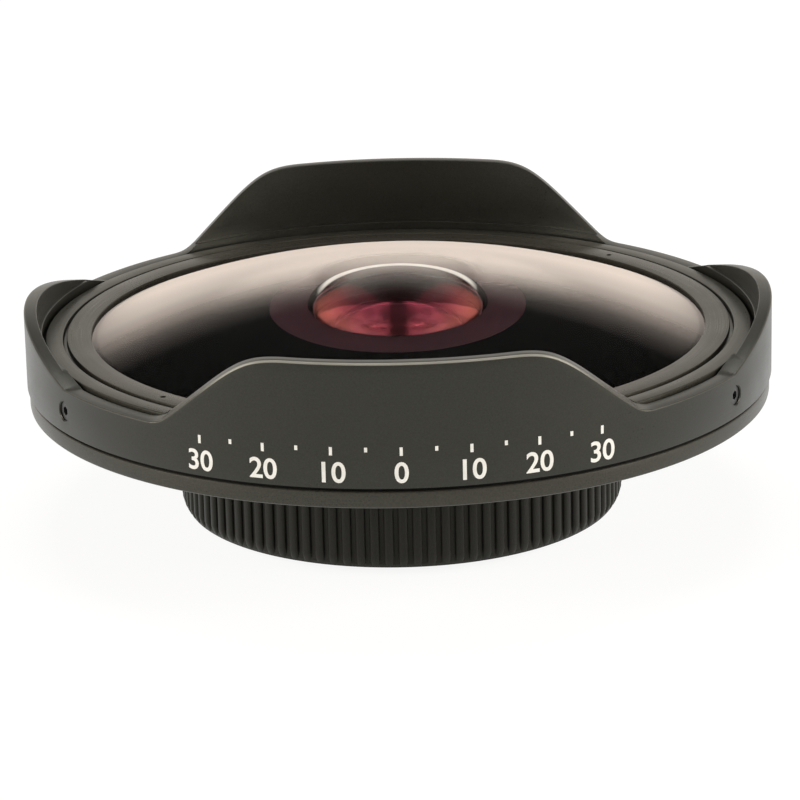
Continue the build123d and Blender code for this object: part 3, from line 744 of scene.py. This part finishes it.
# %% Housing, washer, gasket and baffle
FLANGE_RADIUS, WALL_RADIUS, BORE_RADIUS, SPIGOT_RADIUS = 41.25, 39.2, 37.3, 19.0
SECOND_CURVE, SEAT_RADIUS = 45.0, 13.6
flange_bottom = barrel_top + 0.05
floor_top = flange_bottom + 2.65
second_bottom, second_top = low_high("second_element")
second_seat = second_top - cap(SECOND_CURVE, SEAT_RADIUS) + 0.02
lock_low, lock_high = low_high("second_retaining_ring")


def turned_piece(name, node, body, slot, outline, segments=256):
    """One lathe piece that stands for one CAD node and wears the finish of its slot."""
    mesh = turned_mesh(name, rounded(outline), segments)
    place(name, mesh, finishes[slot], 32, body, node, slot=slot)


housing_outline = [
    (18.7, spigot_bottom, 0.05),
    (SPIGOT_RADIUS, spigot_bottom + 0.3, 0.05),
    (SPIGOT_RADIUS, flange_bottom, 0.05),
    (FLANGE_RADIUS, flange_bottom, 0.3),
    (FLANGE_RADIUS, flange_top, 0.25),
    (WALL_RADIUS, flange_top, 0.05),
    (WALL_RADIUS, screw_height - 0.75, 0.02),
    (WALL_RADIUS - 0.5, screw_height - 0.25, 0.02),
    (WALL_RADIUS - 0.5, screw_height + 0.25, 0.02),
    (WALL_RADIUS, screw_height + 0.75, 0.02),
    (WALL_RADIUS, rim_top, 0.18),
    (BORE_RADIUS, rim_top, 0.15),
    (BORE_RADIUS, 18.77, 0.02),
    (35.55, 18.77, 0.02),
    (35.55, floor_top, 0.02),
    (SEAT_RADIUS, floor_top, 0.02),
    (SEAT_RADIUS, second_seat, 0.02),
    (14.05, second_seat, 0.02),
    (14.05, lock_high + 0.05, 0.02),
    (14.7, lock_high + 0.05, 0.02),
    (14.7, spigot_bottom, 0.05),
]
turned_piece("housing_body", "front_housing", "housing", "housing_anodised", housing_outline)
washer_outline = band(39.35, 40.9, flange_top, washer_top, 0.05)
turned_piece("slide_washer", "hood_washer", "housing", "washer_plastic", washer_outline)

# %% [markdown]
# The ring that holds the front glass
#
# The ring is turned with a thin lip over the glass and a thread outside. A pin spanner turns
# it, so its face has two small holes opposite each other. They are cut with the same Boolean
# as the screw holes. Under the ring lie the gasket that the glass is pressed on and the
# painted plate that keeps stray light out.

# %% Front ring, gasket and baffle
LIP_RADIUS, RING_SEAT, RING_OUTSIDE, RING_CHAMFER = 34.15, 35.55, 37.25, 36.87
SPANNER_RADIUS, SPANNER_AZIMUTHS = 35.5, (-44.7, 135.3)
lip_bottom = ring_top - 0.68
ring_outline = [
    (LIP_RADIUS, lip_bottom, 0.05),
    (RING_SEAT, lip_bottom - cap(FRONT_CURVE, FRONT_RADIUS) + cap(FRONT_CURVE, LIP_RADIUS), 0.02),
    (RING_SEAT, lip_bottom - 1.7, 0.05),
    (RING_OUTSIDE, lip_bottom - 1.7, 0.05),
    (RING_OUTSIDE, ring_top - 0.6, 0.08),
    (RING_CHAMFER, ring_top - 0.6, 0.05),
    (RING_CHAMFER, ring_top, 0.14),
    (LIP_RADIUS, ring_top, 0.14),
]


def spanner_hole(azimuth):
    """Cutter for one blind hole in the ring's face."""
    turn = radians(azimuth)
    cutter = turned_mesh("spanner_hole", [(0, -0.4), (0.32, -0.4), (0.32, 1.0), (0, 1.0)], 32)
    place_on_ring = (SPANNER_RADIUS * sin(turn) * MM, -SPANNER_RADIUS * cos(turn) * MM, ring_top * MM)
    cutter.transform(Matrix.Translation(place_on_ring))
    return cutter


ring_blank = turned_mesh("ring_blank", rounded(ring_outline))
ring_mesh = cut(ring_blank, [spanner_hole(azimuth) for azimuth in SPANNER_AZIMUTHS], "front_ring")
ring_finish = finishes["ring_anodised"]
place("front_ring", ring_mesh, ring_finish, 28, "housing", "front_retaining_ring", slot="ring_anodised")
gasket_outline = band(33.2, 35.4, floor_top, glass_rear, 0.1)
turned_piece("front_seal", "front_gasket", "housing", "seal_rubber", gasket_outline)
baffle_outline = band(14.3, 32.8, floor_top, floor_top + 0.3, 0.03)
turned_piece("light_baffle", "baffle_plate", "housing", "baffle_paint", baffle_outline)

# %% [markdown]
# The glass elements
#
# A lens surface is part of a sphere, so an element is an outline of two arcs and a ground
# rim, turned round the axis. The arcs need many points, because glass shows every facet as a
# kink in what is seen through it. The front glass wears five finishes, one for each part of
# its surface, and a test on a face's radius and height says which part it belongs to.

# %% Arcs, and an element made of them
def arc_points(curve, top, start, end, steps, sign=-1):
    """Points on a spherical surface from one radius to another; top is its height on the axis."""
    radii = [start + (end - start) * i / steps for i in range(steps + 1)]
    return [(radius, top + sign * cap(curve, radius)) for radius in radii]


def hollow_points(curve, centre, end_height, steps):
    """Points on a deep hollow, evenly spaced by angle, from the axis down to its rim."""
    last = acos(min(1.0, (end_height - centre) / curve))
    angles = [last * (1 - i / steps) for i in range(steps, -1, -1)]
    return [(curve * sin(angle), centre + curve * cos(angle)) for angle in angles]


def lens(name, node, body, slot, points, segments, others=()):
    """One glass element; others holds (finish, test on radius, height) pairs for parts of its surface."""
    mesh = turned_mesh(name, points, segments)
    place(name, mesh, finishes[slot], 25, body, node, slot=slot)
    for number, (finish, covers) in enumerate(others, start=1):
        mesh.materials.append(finish)
        for face in mesh.polygons:
            centre = face.center / MM
            if covers(sqrt(centre.x**2 + centre.y**2), centre.z):
                face.material_index = number
    counts = [sum(face.material_index == k for face in mesh.polygons) for k in range(len(mesh.materials))]
    print(name, "faces by finish:", counts)


# %% Front glass
DOME_EDGE, INK_START, CLEAR_RADIUS = 35.3, 35.2, 13.3
rim_edge = glass_top - cap(FRONT_CURVE, DOME_EDGE)
flat = glass_rear + 0.01
front_points = hollow_points(HOLLOW_CURVE, hollow_centre, glass_rear, 48)
front_points += [(CLEAR_RADIUS, glass_rear), (DOME_EDGE, glass_rear)]
front_points += [(FRONT_RADIUS, glass_rear + 0.2), (FRONT_RADIUS, rim_edge - 0.2)]
front_points += arc_points(FRONT_CURVE, glass_top, DOME_EDGE, 0, 96)
front_parts = [
    (dome_glass, lambda r, z: z > glass_top - cap(FRONT_CURVE, min(r, FRONT_RADIUS)) - 0.02),
    (edge_ink, lambda r, z: r > INK_START and z < rim_edge - 0.05),
    (front_clear, lambda r, z: HOLLOW_CURVE < r < CLEAR_RADIUS and z < flat),
    (front_rear, lambda r, z: CLEAR_RADIUS < r < INK_START and z < flat),
]
lens("front_glass_dome", "front_element", "housing", "front_glass", front_points, 256, front_parts)

# %% Second glass and the cemented pair
SECOND_HOLLOW, SECOND_THICKNESS, SECOND_RADIUS = 16.0, 1.6, 14.0
CEMENT_CURVE, CROWN_CURVE, PAIR_RADIUS = 26.0, 28.0, 9.5
second_centre = second_top - SECOND_THICKNESS - SECOND_HOLLOW
second_points = hollow_points(SECOND_HOLLOW, second_centre, second_bottom, 32)
second_points += [(SECOND_RADIUS - 0.1, second_bottom), (SECOND_RADIUS, second_bottom + 0.1)]
second_points += arc_points(SECOND_CURVE, second_top, SECOND_RADIUS, 0, 40)
lens("second_glass", "second_element", "housing", "second_glass", second_points, 192)

crown_bottom, crown_top = low_high("rear_crown_element")
crown_points = arc_points(CEMENT_CURVE, crown_bottom, 0, PAIR_RADIUS, 24, sign=1)
crown_points += arc_points(CROWN_CURVE, crown_top, PAIR_RADIUS, 0, 24)
lens("crown_glass", "rear_crown_element", "rear_cell", "rear_glass", crown_points, 128)

flint_bottom, flint_top = low_high("rear_flint_element")
flint_axis_top = flint_top - cap(CEMENT_CURVE, PAIR_RADIUS)
flint_points = [(0, flint_bottom), (PAIR_RADIUS - 0.1, flint_bottom), (PAIR_RADIUS, flint_bottom + 0.1)]
flint_points += arc_points(CEMENT_CURVE, flint_axis_top, PAIR_RADIUS, 0, 24, sign=1)
lens("flint_glass", "rear_flint_element", "rear_cell", "rear_glass", flint_points, 128)

# %% [markdown]
# The knurled barrel
#
# The barrel is gripped by a hundred straight ribs. A rib is the same small bar over and over,
# so Geometry Nodes place it: points on a circle, one rib on each, turned to face outwards.
# The rib itself has a rounded crest and fades away at its foot, as the knurling wheel leaves
# it. Behind the ribs runs a plain turned barrel at the depth of the grooves.

# %% One rib of the grip
BARREL_RADIUS, GROOVE_RADIUS, RIBS = 24.78, 24.36, 100


def rib_mesh():
    """One rounded rib, standing on the +X side of the barrel's core."""
    foot, shoulder, crest, top, half = -0.1, 0.16, 0.36, 0.42, 0.53
    section = [(foot, -half), (shoulder, -half), (crest, -half * 0.72), (top, -half * 0.36)]
    section += [(top, half * 0.36), (crest, half * 0.72), (shoulder, half), (foot, half)]
    stations = [(barrel_bottom + 0.25, -0.42), (barrel_bottom + 0.75, -0.16), (barrel_bottom + 1.35, 0.0)]
    stations += [(barrel_top - 0.3, 0.0), (barrel_top - 0.08, -0.12)]
    verts, faces = [], []
    for height, drop in stations:
        squeeze = 1 + drop * 0.35
        for out, side in section:
            verts.append(((GROOVE_RADIUS + max(out + drop, foot)) * MM, side * squeeze * MM, height * MM))
    n = len(section)
    for k in range(len(stations) - 1):
        for i in range(n):
            j = (i + 1) % n
            faces.append((k * n + i, k * n + j, (k + 1) * n + j, (k + 1) * n + i))
    faces.append(tuple(range(n))[::-1])
    faces.append(tuple((len(stations) - 1) * n + i for i in range(n)))
    mesh = bpy.data.meshes.new("rib")
    mesh.from_pydata(verts, [], faces)
    return mesh


# %% Ribs placed round the barrel
def repeat_tree():
    """Geometry Nodes tree that repeats a mesh round the Z axis from a first angle, a step apart."""
    g, size = new_tree("repeat_round", "Count", "First", "Step", "Finish")
    points = g.add("GeometryNodePoints", {}, {"Count": size("Count")})
    turn = g.add("GeometryNodeInputIndex") * size("Step") + size("First")
    inputs = {"Points": points, "Instance": size("Geometry"), "Rotation": g.vector(0.0, 0.0, turn)}
    return end_tree(g, g.add("GeometryNodeInstanceOnPoints", {}, inputs), size("Finish"))


def repeated(mesh, name, count, first, step, finish):
    """Mesh repeated round the axis, with angles in degrees."""
    values = {"Count": count, "First": radians(first), "Step": radians(step), "Finish": finish}
    return run_tree(mesh, repeat_tree(), name + "_shape", values)


grip_finish = finishes["grip_anodised"]
ribs_mesh = repeated(rib_mesh(), "grip_ribs", RIBS, 0, 360 / RIBS, grip_finish)
print("rib faces:", len(ribs_mesh.polygons))

# %% The barrel behind the ribs
BARREL_BORE, CELL_BORE, COLLAR_SEAT = 19.06, 11.61, 20.55
WEB_BOTTOM, WEB_TOP, SEAT_TOP = 5.8, 8.0, 3.6
barrel_outline = [
    (23.2, barrel_bottom, 0.06),
    (24.18, barrel_bottom, 0.06),
    (GROOVE_RADIUS, barrel_bottom + 0.4, 0.05),
    (GROOVE_RADIUS, barrel_top - 0.3, 0.02),
    (BARREL_RADIUS - 0.12, barrel_top - 0.12, 0.05),
    (BARREL_RADIUS - 0.25, barrel_top, 0.05),
    (BARREL_BORE, barrel_top, 0.05),
    (BARREL_BORE, WEB_TOP, 0.02),
    (CELL_BORE, WEB_TOP, 0.05),
    (CELL_BORE, WEB_BOTTOM, 0.05),
    (COLLAR_SEAT, WEB_BOTTOM, 0.02),
    (COLLAR_SEAT, SEAT_TOP, 0.05),
    (23.2, SEAT_TOP, 0.02),
]
turned_piece("grip_core", "rear_barrel", "rear_barrel", "grip_anodised", barrel_outline)
place("grip_ribs", ribs_mesh, grip_finish, 50, "rear_barrel", slot="grip_anodised")

# %% [markdown]
# The thread collar
#
# The collar screws into a camera's filter thread: 43 mm across, 0.75 mm from turn to turn. A
# thread is a triangle swept along a helix, so a tree draws the helix as a spiral curve and
# sweeps the triangle along it. The collar under it is turned at the depth of the thread, and
# has two slots for a spanner in its rear face, as the rings inside have.

# %% The thread, swept along a helix
THREAD_ROOT, PITCH, TURNS = 21.05, 0.75, 4.0
THREAD = {"Radius": (THREAD_ROOT + 0.12) * MM, "Pitch": PITCH * MM, "Depth": 0.33 * MM, "Start": 0.45 * MM}


def thread_tree():
    """Geometry Nodes tree that sweeps a ridge along a helix, fading in and out at its ends."""
    g, size = new_tree("thread", *THREAD, "Turns")
    spiral = {
        "Resolution": 160,
        "Rotations": size("Turns"),
        "Start Radius": size("Radius"),
        "End Radius": size("Radius"),
        "Height": size("Turns") * size("Pitch"),
        "Reverse": False,
    }
    helix = g.add("GeometryNodeCurveSpiral", {}, spiral)
    lift = g.vector(0.0, 0.0, size("Start"))
    lifted = g.add("GeometryNodeTransform", {}, {"Geometry": helix, "Translation": lift})
    along = g.add("GeometryNodeSplineParameter")
    fade = ((0.5 - (along - 0.5).math("ABSOLUTE")) * 14.0).clamp(0.05, 1.0)
    triangle = {"Resolution": 3, "Radius": size("Depth")}
    ridge = g.add("GeometryNodeCurvePrimitiveCircle", {"mode": "RADIUS"}, triangle)
    sized = g.add("GeometryNodeSetCurveRadius", {}, {"Curve": lifted, "Radius": fade})
    sweep = {"Curve": sized, "Profile Curve": ridge, "Fill Caps": True}
    return end_tree(g, g.add("GeometryNodeCurveToMesh", {}, sweep), finishes["collar_anodised"])


empty_mesh = bpy.data.meshes.new("empty")
thread_mesh = run_tree(empty_mesh, thread_tree(), "collar_thread_shape", {**THREAD, "Turns": TURNS})
print("thread faces:", len(thread_mesh.polygons))

# %% The collar, with slots for a spanner
def box_mesh(name, xs, ys, zs):
    """Box from its two x, two y and two z, in millimetres."""
    verts = [(x * MM, y * MM, z * MM) for z in zs for y in ys for x in xs]
    faces = [(0, 2, 3, 1), (4, 5, 7, 6), (0, 1, 5, 4), (1, 3, 7, 5), (3, 2, 6, 7), (2, 0, 4, 6)]
    mesh = bpy.data.meshes.new(name)
    mesh.from_pydata(verts, [], faces)
    return mesh


def spanner_slots(width, depth, inner, outer, bottom):
    """Cutters for two slots opposite each other, in a ring's rear face."""
    cutters = []
    for turn in (0, pi):
        cutter = box_mesh("slot", (inner, outer), (-width / 2, width / 2), (bottom - 1, bottom + depth))
        cutter.transform(Matrix.Rotation(turn, 4, "Z"))
        cutters.append(cutter)
    return cutters


def slotted_piece(name, node, body, slot, outline, slots):
    """Turned ring with two spanner slots."""
    mesh = cut(turned_mesh(name + "_blank", rounded(outline), 192), spanner_slots(*slots), name)
    place(name, mesh, finishes[slot], 28, body, node, slot=slot)


collar_outline = [
    (18.6, 0, 0.08),
    (21.15, 0, 0.1),
    (THREAD_ROOT, 0.35, 0.03),
    (THREAD_ROOT, SEAT_TOP - 0.15, 0.02),
    (20.9, SEAT_TOP, 0.02),
    (20.5, SEAT_TOP, 0.02),
    (20.5, WEB_BOTTOM - 0.1, 0.05),
    (18.6, WEB_BOTTOM - 0.1, 0.05),
]
collar_slots = (1.4, 0.7, 17.6, 20.0, 0)
slotted_piece("thread_collar", "mount_ring", "rear_barrel", "collar_anodised", collar_outline, collar_slots)
collar_finish = finishes["collar_anodised"]
place("collar_thread", thread_mesh, collar_finish, 30, "rear_barrel", slot="collar_anodised")

# %% [markdown]
# The rear cell and the rings inside
#
# These pieces show from behind, down the collar, and faintly through the glass. They are
# turned like the others, with a rougher black so that they stay in the dark.

# %% Rear cell, stop, spacer and retaining rings
cell_bottom, cell_top = low_high("rear_cell")
ring_low, ring_high = low_high("rear_retaining_ring")
cell_outline = [
    (8.7, cell_top, 0.05),
    (8.7, cell_top - 1.3, 0.02),
    (9.55, cell_top - 1.3, 0.02),
    (9.55, ring_high, 0.02),
    (10.2, ring_high, 0.02),
    (10.2, cell_bottom, 0.12),
    (11.55, cell_bottom, 0.15),
    (11.55, cell_top - 0.87, 0.02),
    (13.3, cell_top - 0.87, 0.05),
    (13.3, cell_top, 0.05),
]
turned_piece("rear_tube", "rear_cell", "rear_cell", "inner_anodised", cell_outline, 192)
stop_outline = band(7.8, 13.2, *low_high("stray_light_stop"), 0.03)
turned_piece("aperture_stop", "stray_light_stop", "rear_cell", "baffle_paint", stop_outline, 192)
ring_outline = band(8.6, 10.15, ring_low, ring_high, 0.08, 0.03)
ring_slots = (1.0, 0.5, 7.6, 11.15, ring_low)
slotted_piece("rear_ring", "rear_retaining_ring", "rear_cell", "inner_anodised", ring_outline, ring_slots)
spacer_outline = band(11.0, 14.0, *low_high("second_spacer_ring"), 0.05)
turned_piece("slip_ring", "second_spacer_ring", "housing", "washer_plastic", spacer_outline, 192)
lock_outline = band(11.6, 14.65, lock_low, lock_high, 0.08, 0.03)
lock_slots = (1.2, 0.6, 10.6, 15.65, lock_low)
slotted_piece("second_ring", "second_retaining_ring", "housing", "inner_anodised", lock_outline, lock_slots)

# %% [markdown]
# Set screws
#
# The three screws are small enough that the CAD shape serves: a headless screw with a hexagon
# socket. They get a black oxide steel that is a little brighter than the hood around them.

# %% Black oxide on the screws
screw_steel = anodised("black_oxide_steel", (0.02, 0.02, 0.021), 0.32, 0.1, mottle=0.4, tint=(1, 1, 1))
for number in (1, 2, 3):
    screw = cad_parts[f"hood_set_screw_{number}"]
    for material_slot in screw.material_slots:
        material_slot.material = screw_steel
    print(screw.name, "slots:", len(screw.material_slots))

# %% [markdown]
# The scale printed on the hood
#
# The hood turns, so its front carries a plain scale in white paint: a long tick and a number
# every ten degrees, and a short tick between. The ticks repeat, so the tree that set the ribs
# sets them too. The numbers come from Blender's own font, made a mesh while they are flat,
# and then wrapped round the hood: a point's distance to the side becomes an angle.

# %% White paint
def paint_white():
    """Screen-printed white paint, slightly worn and uneven."""
    r = material("scale_paint")
    where = r.where()
    grain = r.noise(where, 6000.0, 2.0, 0.6)
    cloud = r.noise(where, 700.0)
    shade = (grain * 0.35 + cloud * 0.65).clamp()
    inputs = {
        "Base Color": r.blend(shade, (0.62, 0.61, 0.58, 1), (0.93, 0.92, 0.9, 1)),
        "Roughness": (0.42 + cloud * 0.2).clamp(0.3, 0.8),
        "Normal": r.bump(grain, 0.3, 0.01),
        "Specular IOR Level": 0.4,
    }
    return r.surface(r.bsdf("Principled", inputs))


scale_paint = paint_white()

# %% Numbers wrapped round the hood
NUMBER_SIZE, NUMBER_HEIGHT, STROKE_SWELL = 3.1, hood_bottom + 1.65, 0.05


def wrapped(mesh, height):
    """Flat mesh in x, y, z laid on the hood: x becomes an angle from -Y, y a height."""
    for vert in mesh.vertices:
        x, y, z = vert.co
        turn = x / (HOOD_RADIUS * MM)
        radius = HOOD_WALL * MM + z
        vert.co = (radius * sin(turn), -radius * cos(turn), y + height * MM)
    mesh.update()


def number_mesh(text, centre):
    """A printed number, flat, centred at an arc length along x, in millimetres."""
    curve = bpy.data.curves.new("number", "FONT")
    curve.body, curve.align_x, curve.align_y = text, "CENTER", "CENTER"
    curve.size, curve.extrude, curve.offset = NUMBER_SIZE * MM, PAINT_DEPTH / 2 * MM, STROKE_SWELL * MM
    curve.resolution_u = 6
    mesh = applied(linked("number", curve), "number_" + text)
    mesh.transform(Matrix.Translation((centre * MM, 0, PAINT_DEPTH / 2 * MM)))
    return mesh


for degrees in range(-30, 31, 10):
    text = number_mesh(str(abs(degrees)), HOOD_RADIUS * radians(degrees))
    wrapped(text, NUMBER_HEIGHT)
    place(f"scale_number_{degrees + 30}", text, scale_paint, 40, "hood", slot="hood_anodised")

# %% Ticks, repeated along the hood
TICK_HALF, TICK_TOP = 0.16, hood_bottom + 4.5
TICKS = {"scale_ticks_long": (0.9, 7, -30), "scale_ticks_short": (0.5, 6, -25)}

for name, (length, count, first) in TICKS.items():
    depth = (-HOOD_RADIUS, -HOOD_WALL + 0.03)
    tick = box_mesh("tick", (-TICK_HALF, TICK_HALF), depth, (TICK_TOP - length, TICK_TOP))
    ticks = repeated(tick, name, count, first, 10, scale_paint)
    place(name, ticks, scale_paint, 40, "hood", slot="hood_anodised")

# %% [markdown]
# Floor and surround
#
# The lens stands on a plain white floor that runs into a white surround. What the camera and
# the gloss see of them is plain white, while the light that falls on the lens from the
# surround is weaker, which keeps the blacks deep. The floor lies a hair below the collar's
# face, because two faces in one plane flicker.
#
# Rays that have passed through glass see a darker room with two light boxes high in front,
# which the second element mirrors as the red patches. The boxes are drawn by direction: x is
# how far a ray points to the side and z how far it points up, both parts of a unit vector.

# %% White floor
FLOOR_HEIGHT, FLOOR_REACH = -0.05, 3.0
GLOW_WHITE = (1, 1, 0.995, 1)


def white_floor():
    """Large plain floor that keeps a soft shadow, with a shadow painted under the lens for rays through
    glass.
    """
    r = material("floor_white")
    path = r.add("ShaderNodeLightPath")
    through = path.output("Is Transmission Ray")
    lit = r.bsdf("Diffuse", {"Color": (0.9, 0.9, 0.89, 1)})
    glow = r.add("ShaderNodeEmission", {}, {"Color": GLOW_WHITE, "Strength": 1.06})
    x, y, _ = r.split(r.where())
    # Under the lens the floor's glow is taken away for rays through glass: a shadow painted in a disc round
    # the axis.
    painted_shadow_under_lens = (1.5 - (x * x + y * y) ** 0.5 / 0.03).clamp() * through
    sees_white = (path + path.output("Is Glossy Ray") + through).clamp()
    made = r.surface(r.mix(sees_white * 0.85 * (1 - painted_shadow_under_lens), lit, glow))
    reach = FLOOR_REACH
    mesh = bpy.data.meshes.new("floor")
    corners = [(-reach, -reach), (reach, -reach), (reach, reach), (-reach, reach)]
    mesh.from_pydata([(x, y, FLOOR_HEIGHT * MM) for x, y in corners], [], [(0, 1, 2, 3)])
    mesh.materials.append(made)
    floor = linked("floor", mesh)
    return floor


print("floor faces:", len(white_floor().data.polygons))

# %% Surround, with light boxes for the glass
NECK, NECK_TOP, FLARE, SOFT = 0.07, 0.53, 0.8, 0.012
BOX_STRENGTH, DARK_ROOM = 3.2, 0.02


def light_boxes(r, x, z):
    """Light of two boxes by direction, with a dark V between them that narrows to a neck."""
    above = z.step(NECK_TOP + 0.002, NECK_TOP + 0.02)
    half_width = (NECK_TOP - z).math("MAXIMUM", 0.0) * FLARE + NECK
    beside = (x - half_width).step(-SOFT, SOFT).math("MAXIMUM", above)
    seam = 1 - (z.step(0.49, 0.53) - z.step(0.54, 0.57)) * 0.3
    foot = (z + x * 0.3).step(0.40, 0.44) * (z.step(0.5, 0.56) * 0.1 + 0.9)
    shelf = 1 - ((z - x * 0.35).step(0.6, 0.67) - z.step(0.71, 0.75)) * 0.6
    outwards = (x + above * 0.05 - 0.18).math("MAXIMUM", 0.0) * (above + 8.0)
    light = (0.58 - above * 0.46 + outwards).math("MINIMUM", 1.9 - above * 0.8)
    far_side = 1 - x.step(0.45, 0.6) * 0.5
    ceiling = z.step(0.98, 0.75)
    return beside * seam * foot * shelf * light * far_side * ceiling * BOX_STRENGTH + DARK_ROOM


def surround():
    """World: white where it is seen, weaker where it lights, and light boxes for the glass."""
    world = bpy.data.worlds.new("studio")
    bpy.context.scene.world = world
    world.use_nodes = True
    world.node_tree.nodes.clear()
    r = Recipe(world.node_tree)
    x, y, z = r.split(r.add("ShaderNodeTexCoord").output("Generated"))
    room = z.step(0.6, 0.25) * y.step(-0.9, -0.2) * 0.8 + 0.2
    path = r.add("ShaderNodeLightPath")
    glossy, through = path.output("Is Glossy Ray"), path.output("Is Transmission Ray")
    lighting = (glossy * 0.45 + 0.55) * (1 - through) * room
    strength = path.math("MAXIMUM", lighting + through * light_boxes(r, x.math("ABSOLUTE"), z))
    tone = r.blend(path.math("MAXIMUM", through), (1.0, 0.95, 0.86, 1), GLOW_WHITE)
    glow = r.add("ShaderNodeBackground", {}, {"Color": tone, "Strength": strength})
    r.add("ShaderNodeOutputWorld", {}, {"Surface": glow})
    return world


print("world nodes:", len(surround().node_tree.nodes))

# %% [markdown]
# Lamps
#
# Large soft lamps hang to the left, the right and above, so that the black skin shows its
# satin sheen from both sides. They light every surface and show in its gloss, but rays
# through glass pass them by, because the light boxes take their place there.

# %% Lamps
WARM, WHITE = (1.0, 0.95, 0.87), (1, 1, 1)
AIM = Vector((0, 0, 0.02))
LAMPS = {
    "lamp_left": ((-0.76, -0.27, 0.32), 0.4, 6.4, WARM),
    "lamp_right": ((0.76, -0.27, 0.32), 0.4, 7.2, WARM),
    "lamp_top": ((0.0, 0.25, 0.9), 0.42, 4.0, WHITE),
}
for name, (where, size, watts, colour) in LAMPS.items():
    light = bpy.data.lights.new(name, "AREA")
    light.shape, light.size, light.energy, light.color = "SQUARE", size, watts, colour
    lamp = linked(name, light)
    lamp.visible_transmission = False
    lamp.location = where
    lamp.rotation_euler = (AIM - Vector(where)).to_track_quat("-Z", "Y").to_euler()
    print(name, watts, "W")

# %% [markdown]
# The camera
#
# The photograph was taken from straight in front and about 19 degrees above, with a long
# lens. Its eye point, tilt and roll were fitted to the circles of the hood, the glass and the
# grip. Tilt and roll give the camera's own axes, which are written straight into its matrix.

# %% Camera
EYE_DISTANCE, EYE_ELEVATION, EYE_LIFT = 444.6, 19.325, 1.0
LOOK_DOWN, ROLL = 17.97, -1.349
FOCAL_LENGTH, SENSOR_WIDTH = 176.8, 36.0


def photo_camera():
    """Camera where the photograph was taken from, slightly above and straight in front."""
    data = bpy.data.cameras.new("camera")
    data.sensor_width, data.lens = SENSOR_WIDTH, FOCAL_LENGTH
    data.clip_start = 0.01
    camera = linked("camera", data)
    down, roll, rise = radians(LOOK_DOWN), radians(ROLL), radians(EYE_ELEVATION)
    ahead = Vector((0, cos(down), -sin(down)))
    right = Vector((1, 0, 0))
    up = right.cross(ahead)
    turned_right = right * cos(roll) + up * sin(roll)
    turned_up = up * cos(roll) - right * sin(roll)
    matrix = Matrix((turned_right, turned_up, -ahead)).transposed().to_4x4()
    eye = Vector((0, -EYE_DISTANCE * cos(rise), EYE_DISTANCE * sin(rise) + EYE_LIFT))
    matrix.translation = eye * MM
    camera.matrix_world = matrix
    return camera


bpy.context.scene.camera = photo_camera()
bpy.context.scene.view_settings.view_transform = "Standard"
print("camera at", [round(v, 4) for v in bpy.context.scene.camera.matrix_world.translation])
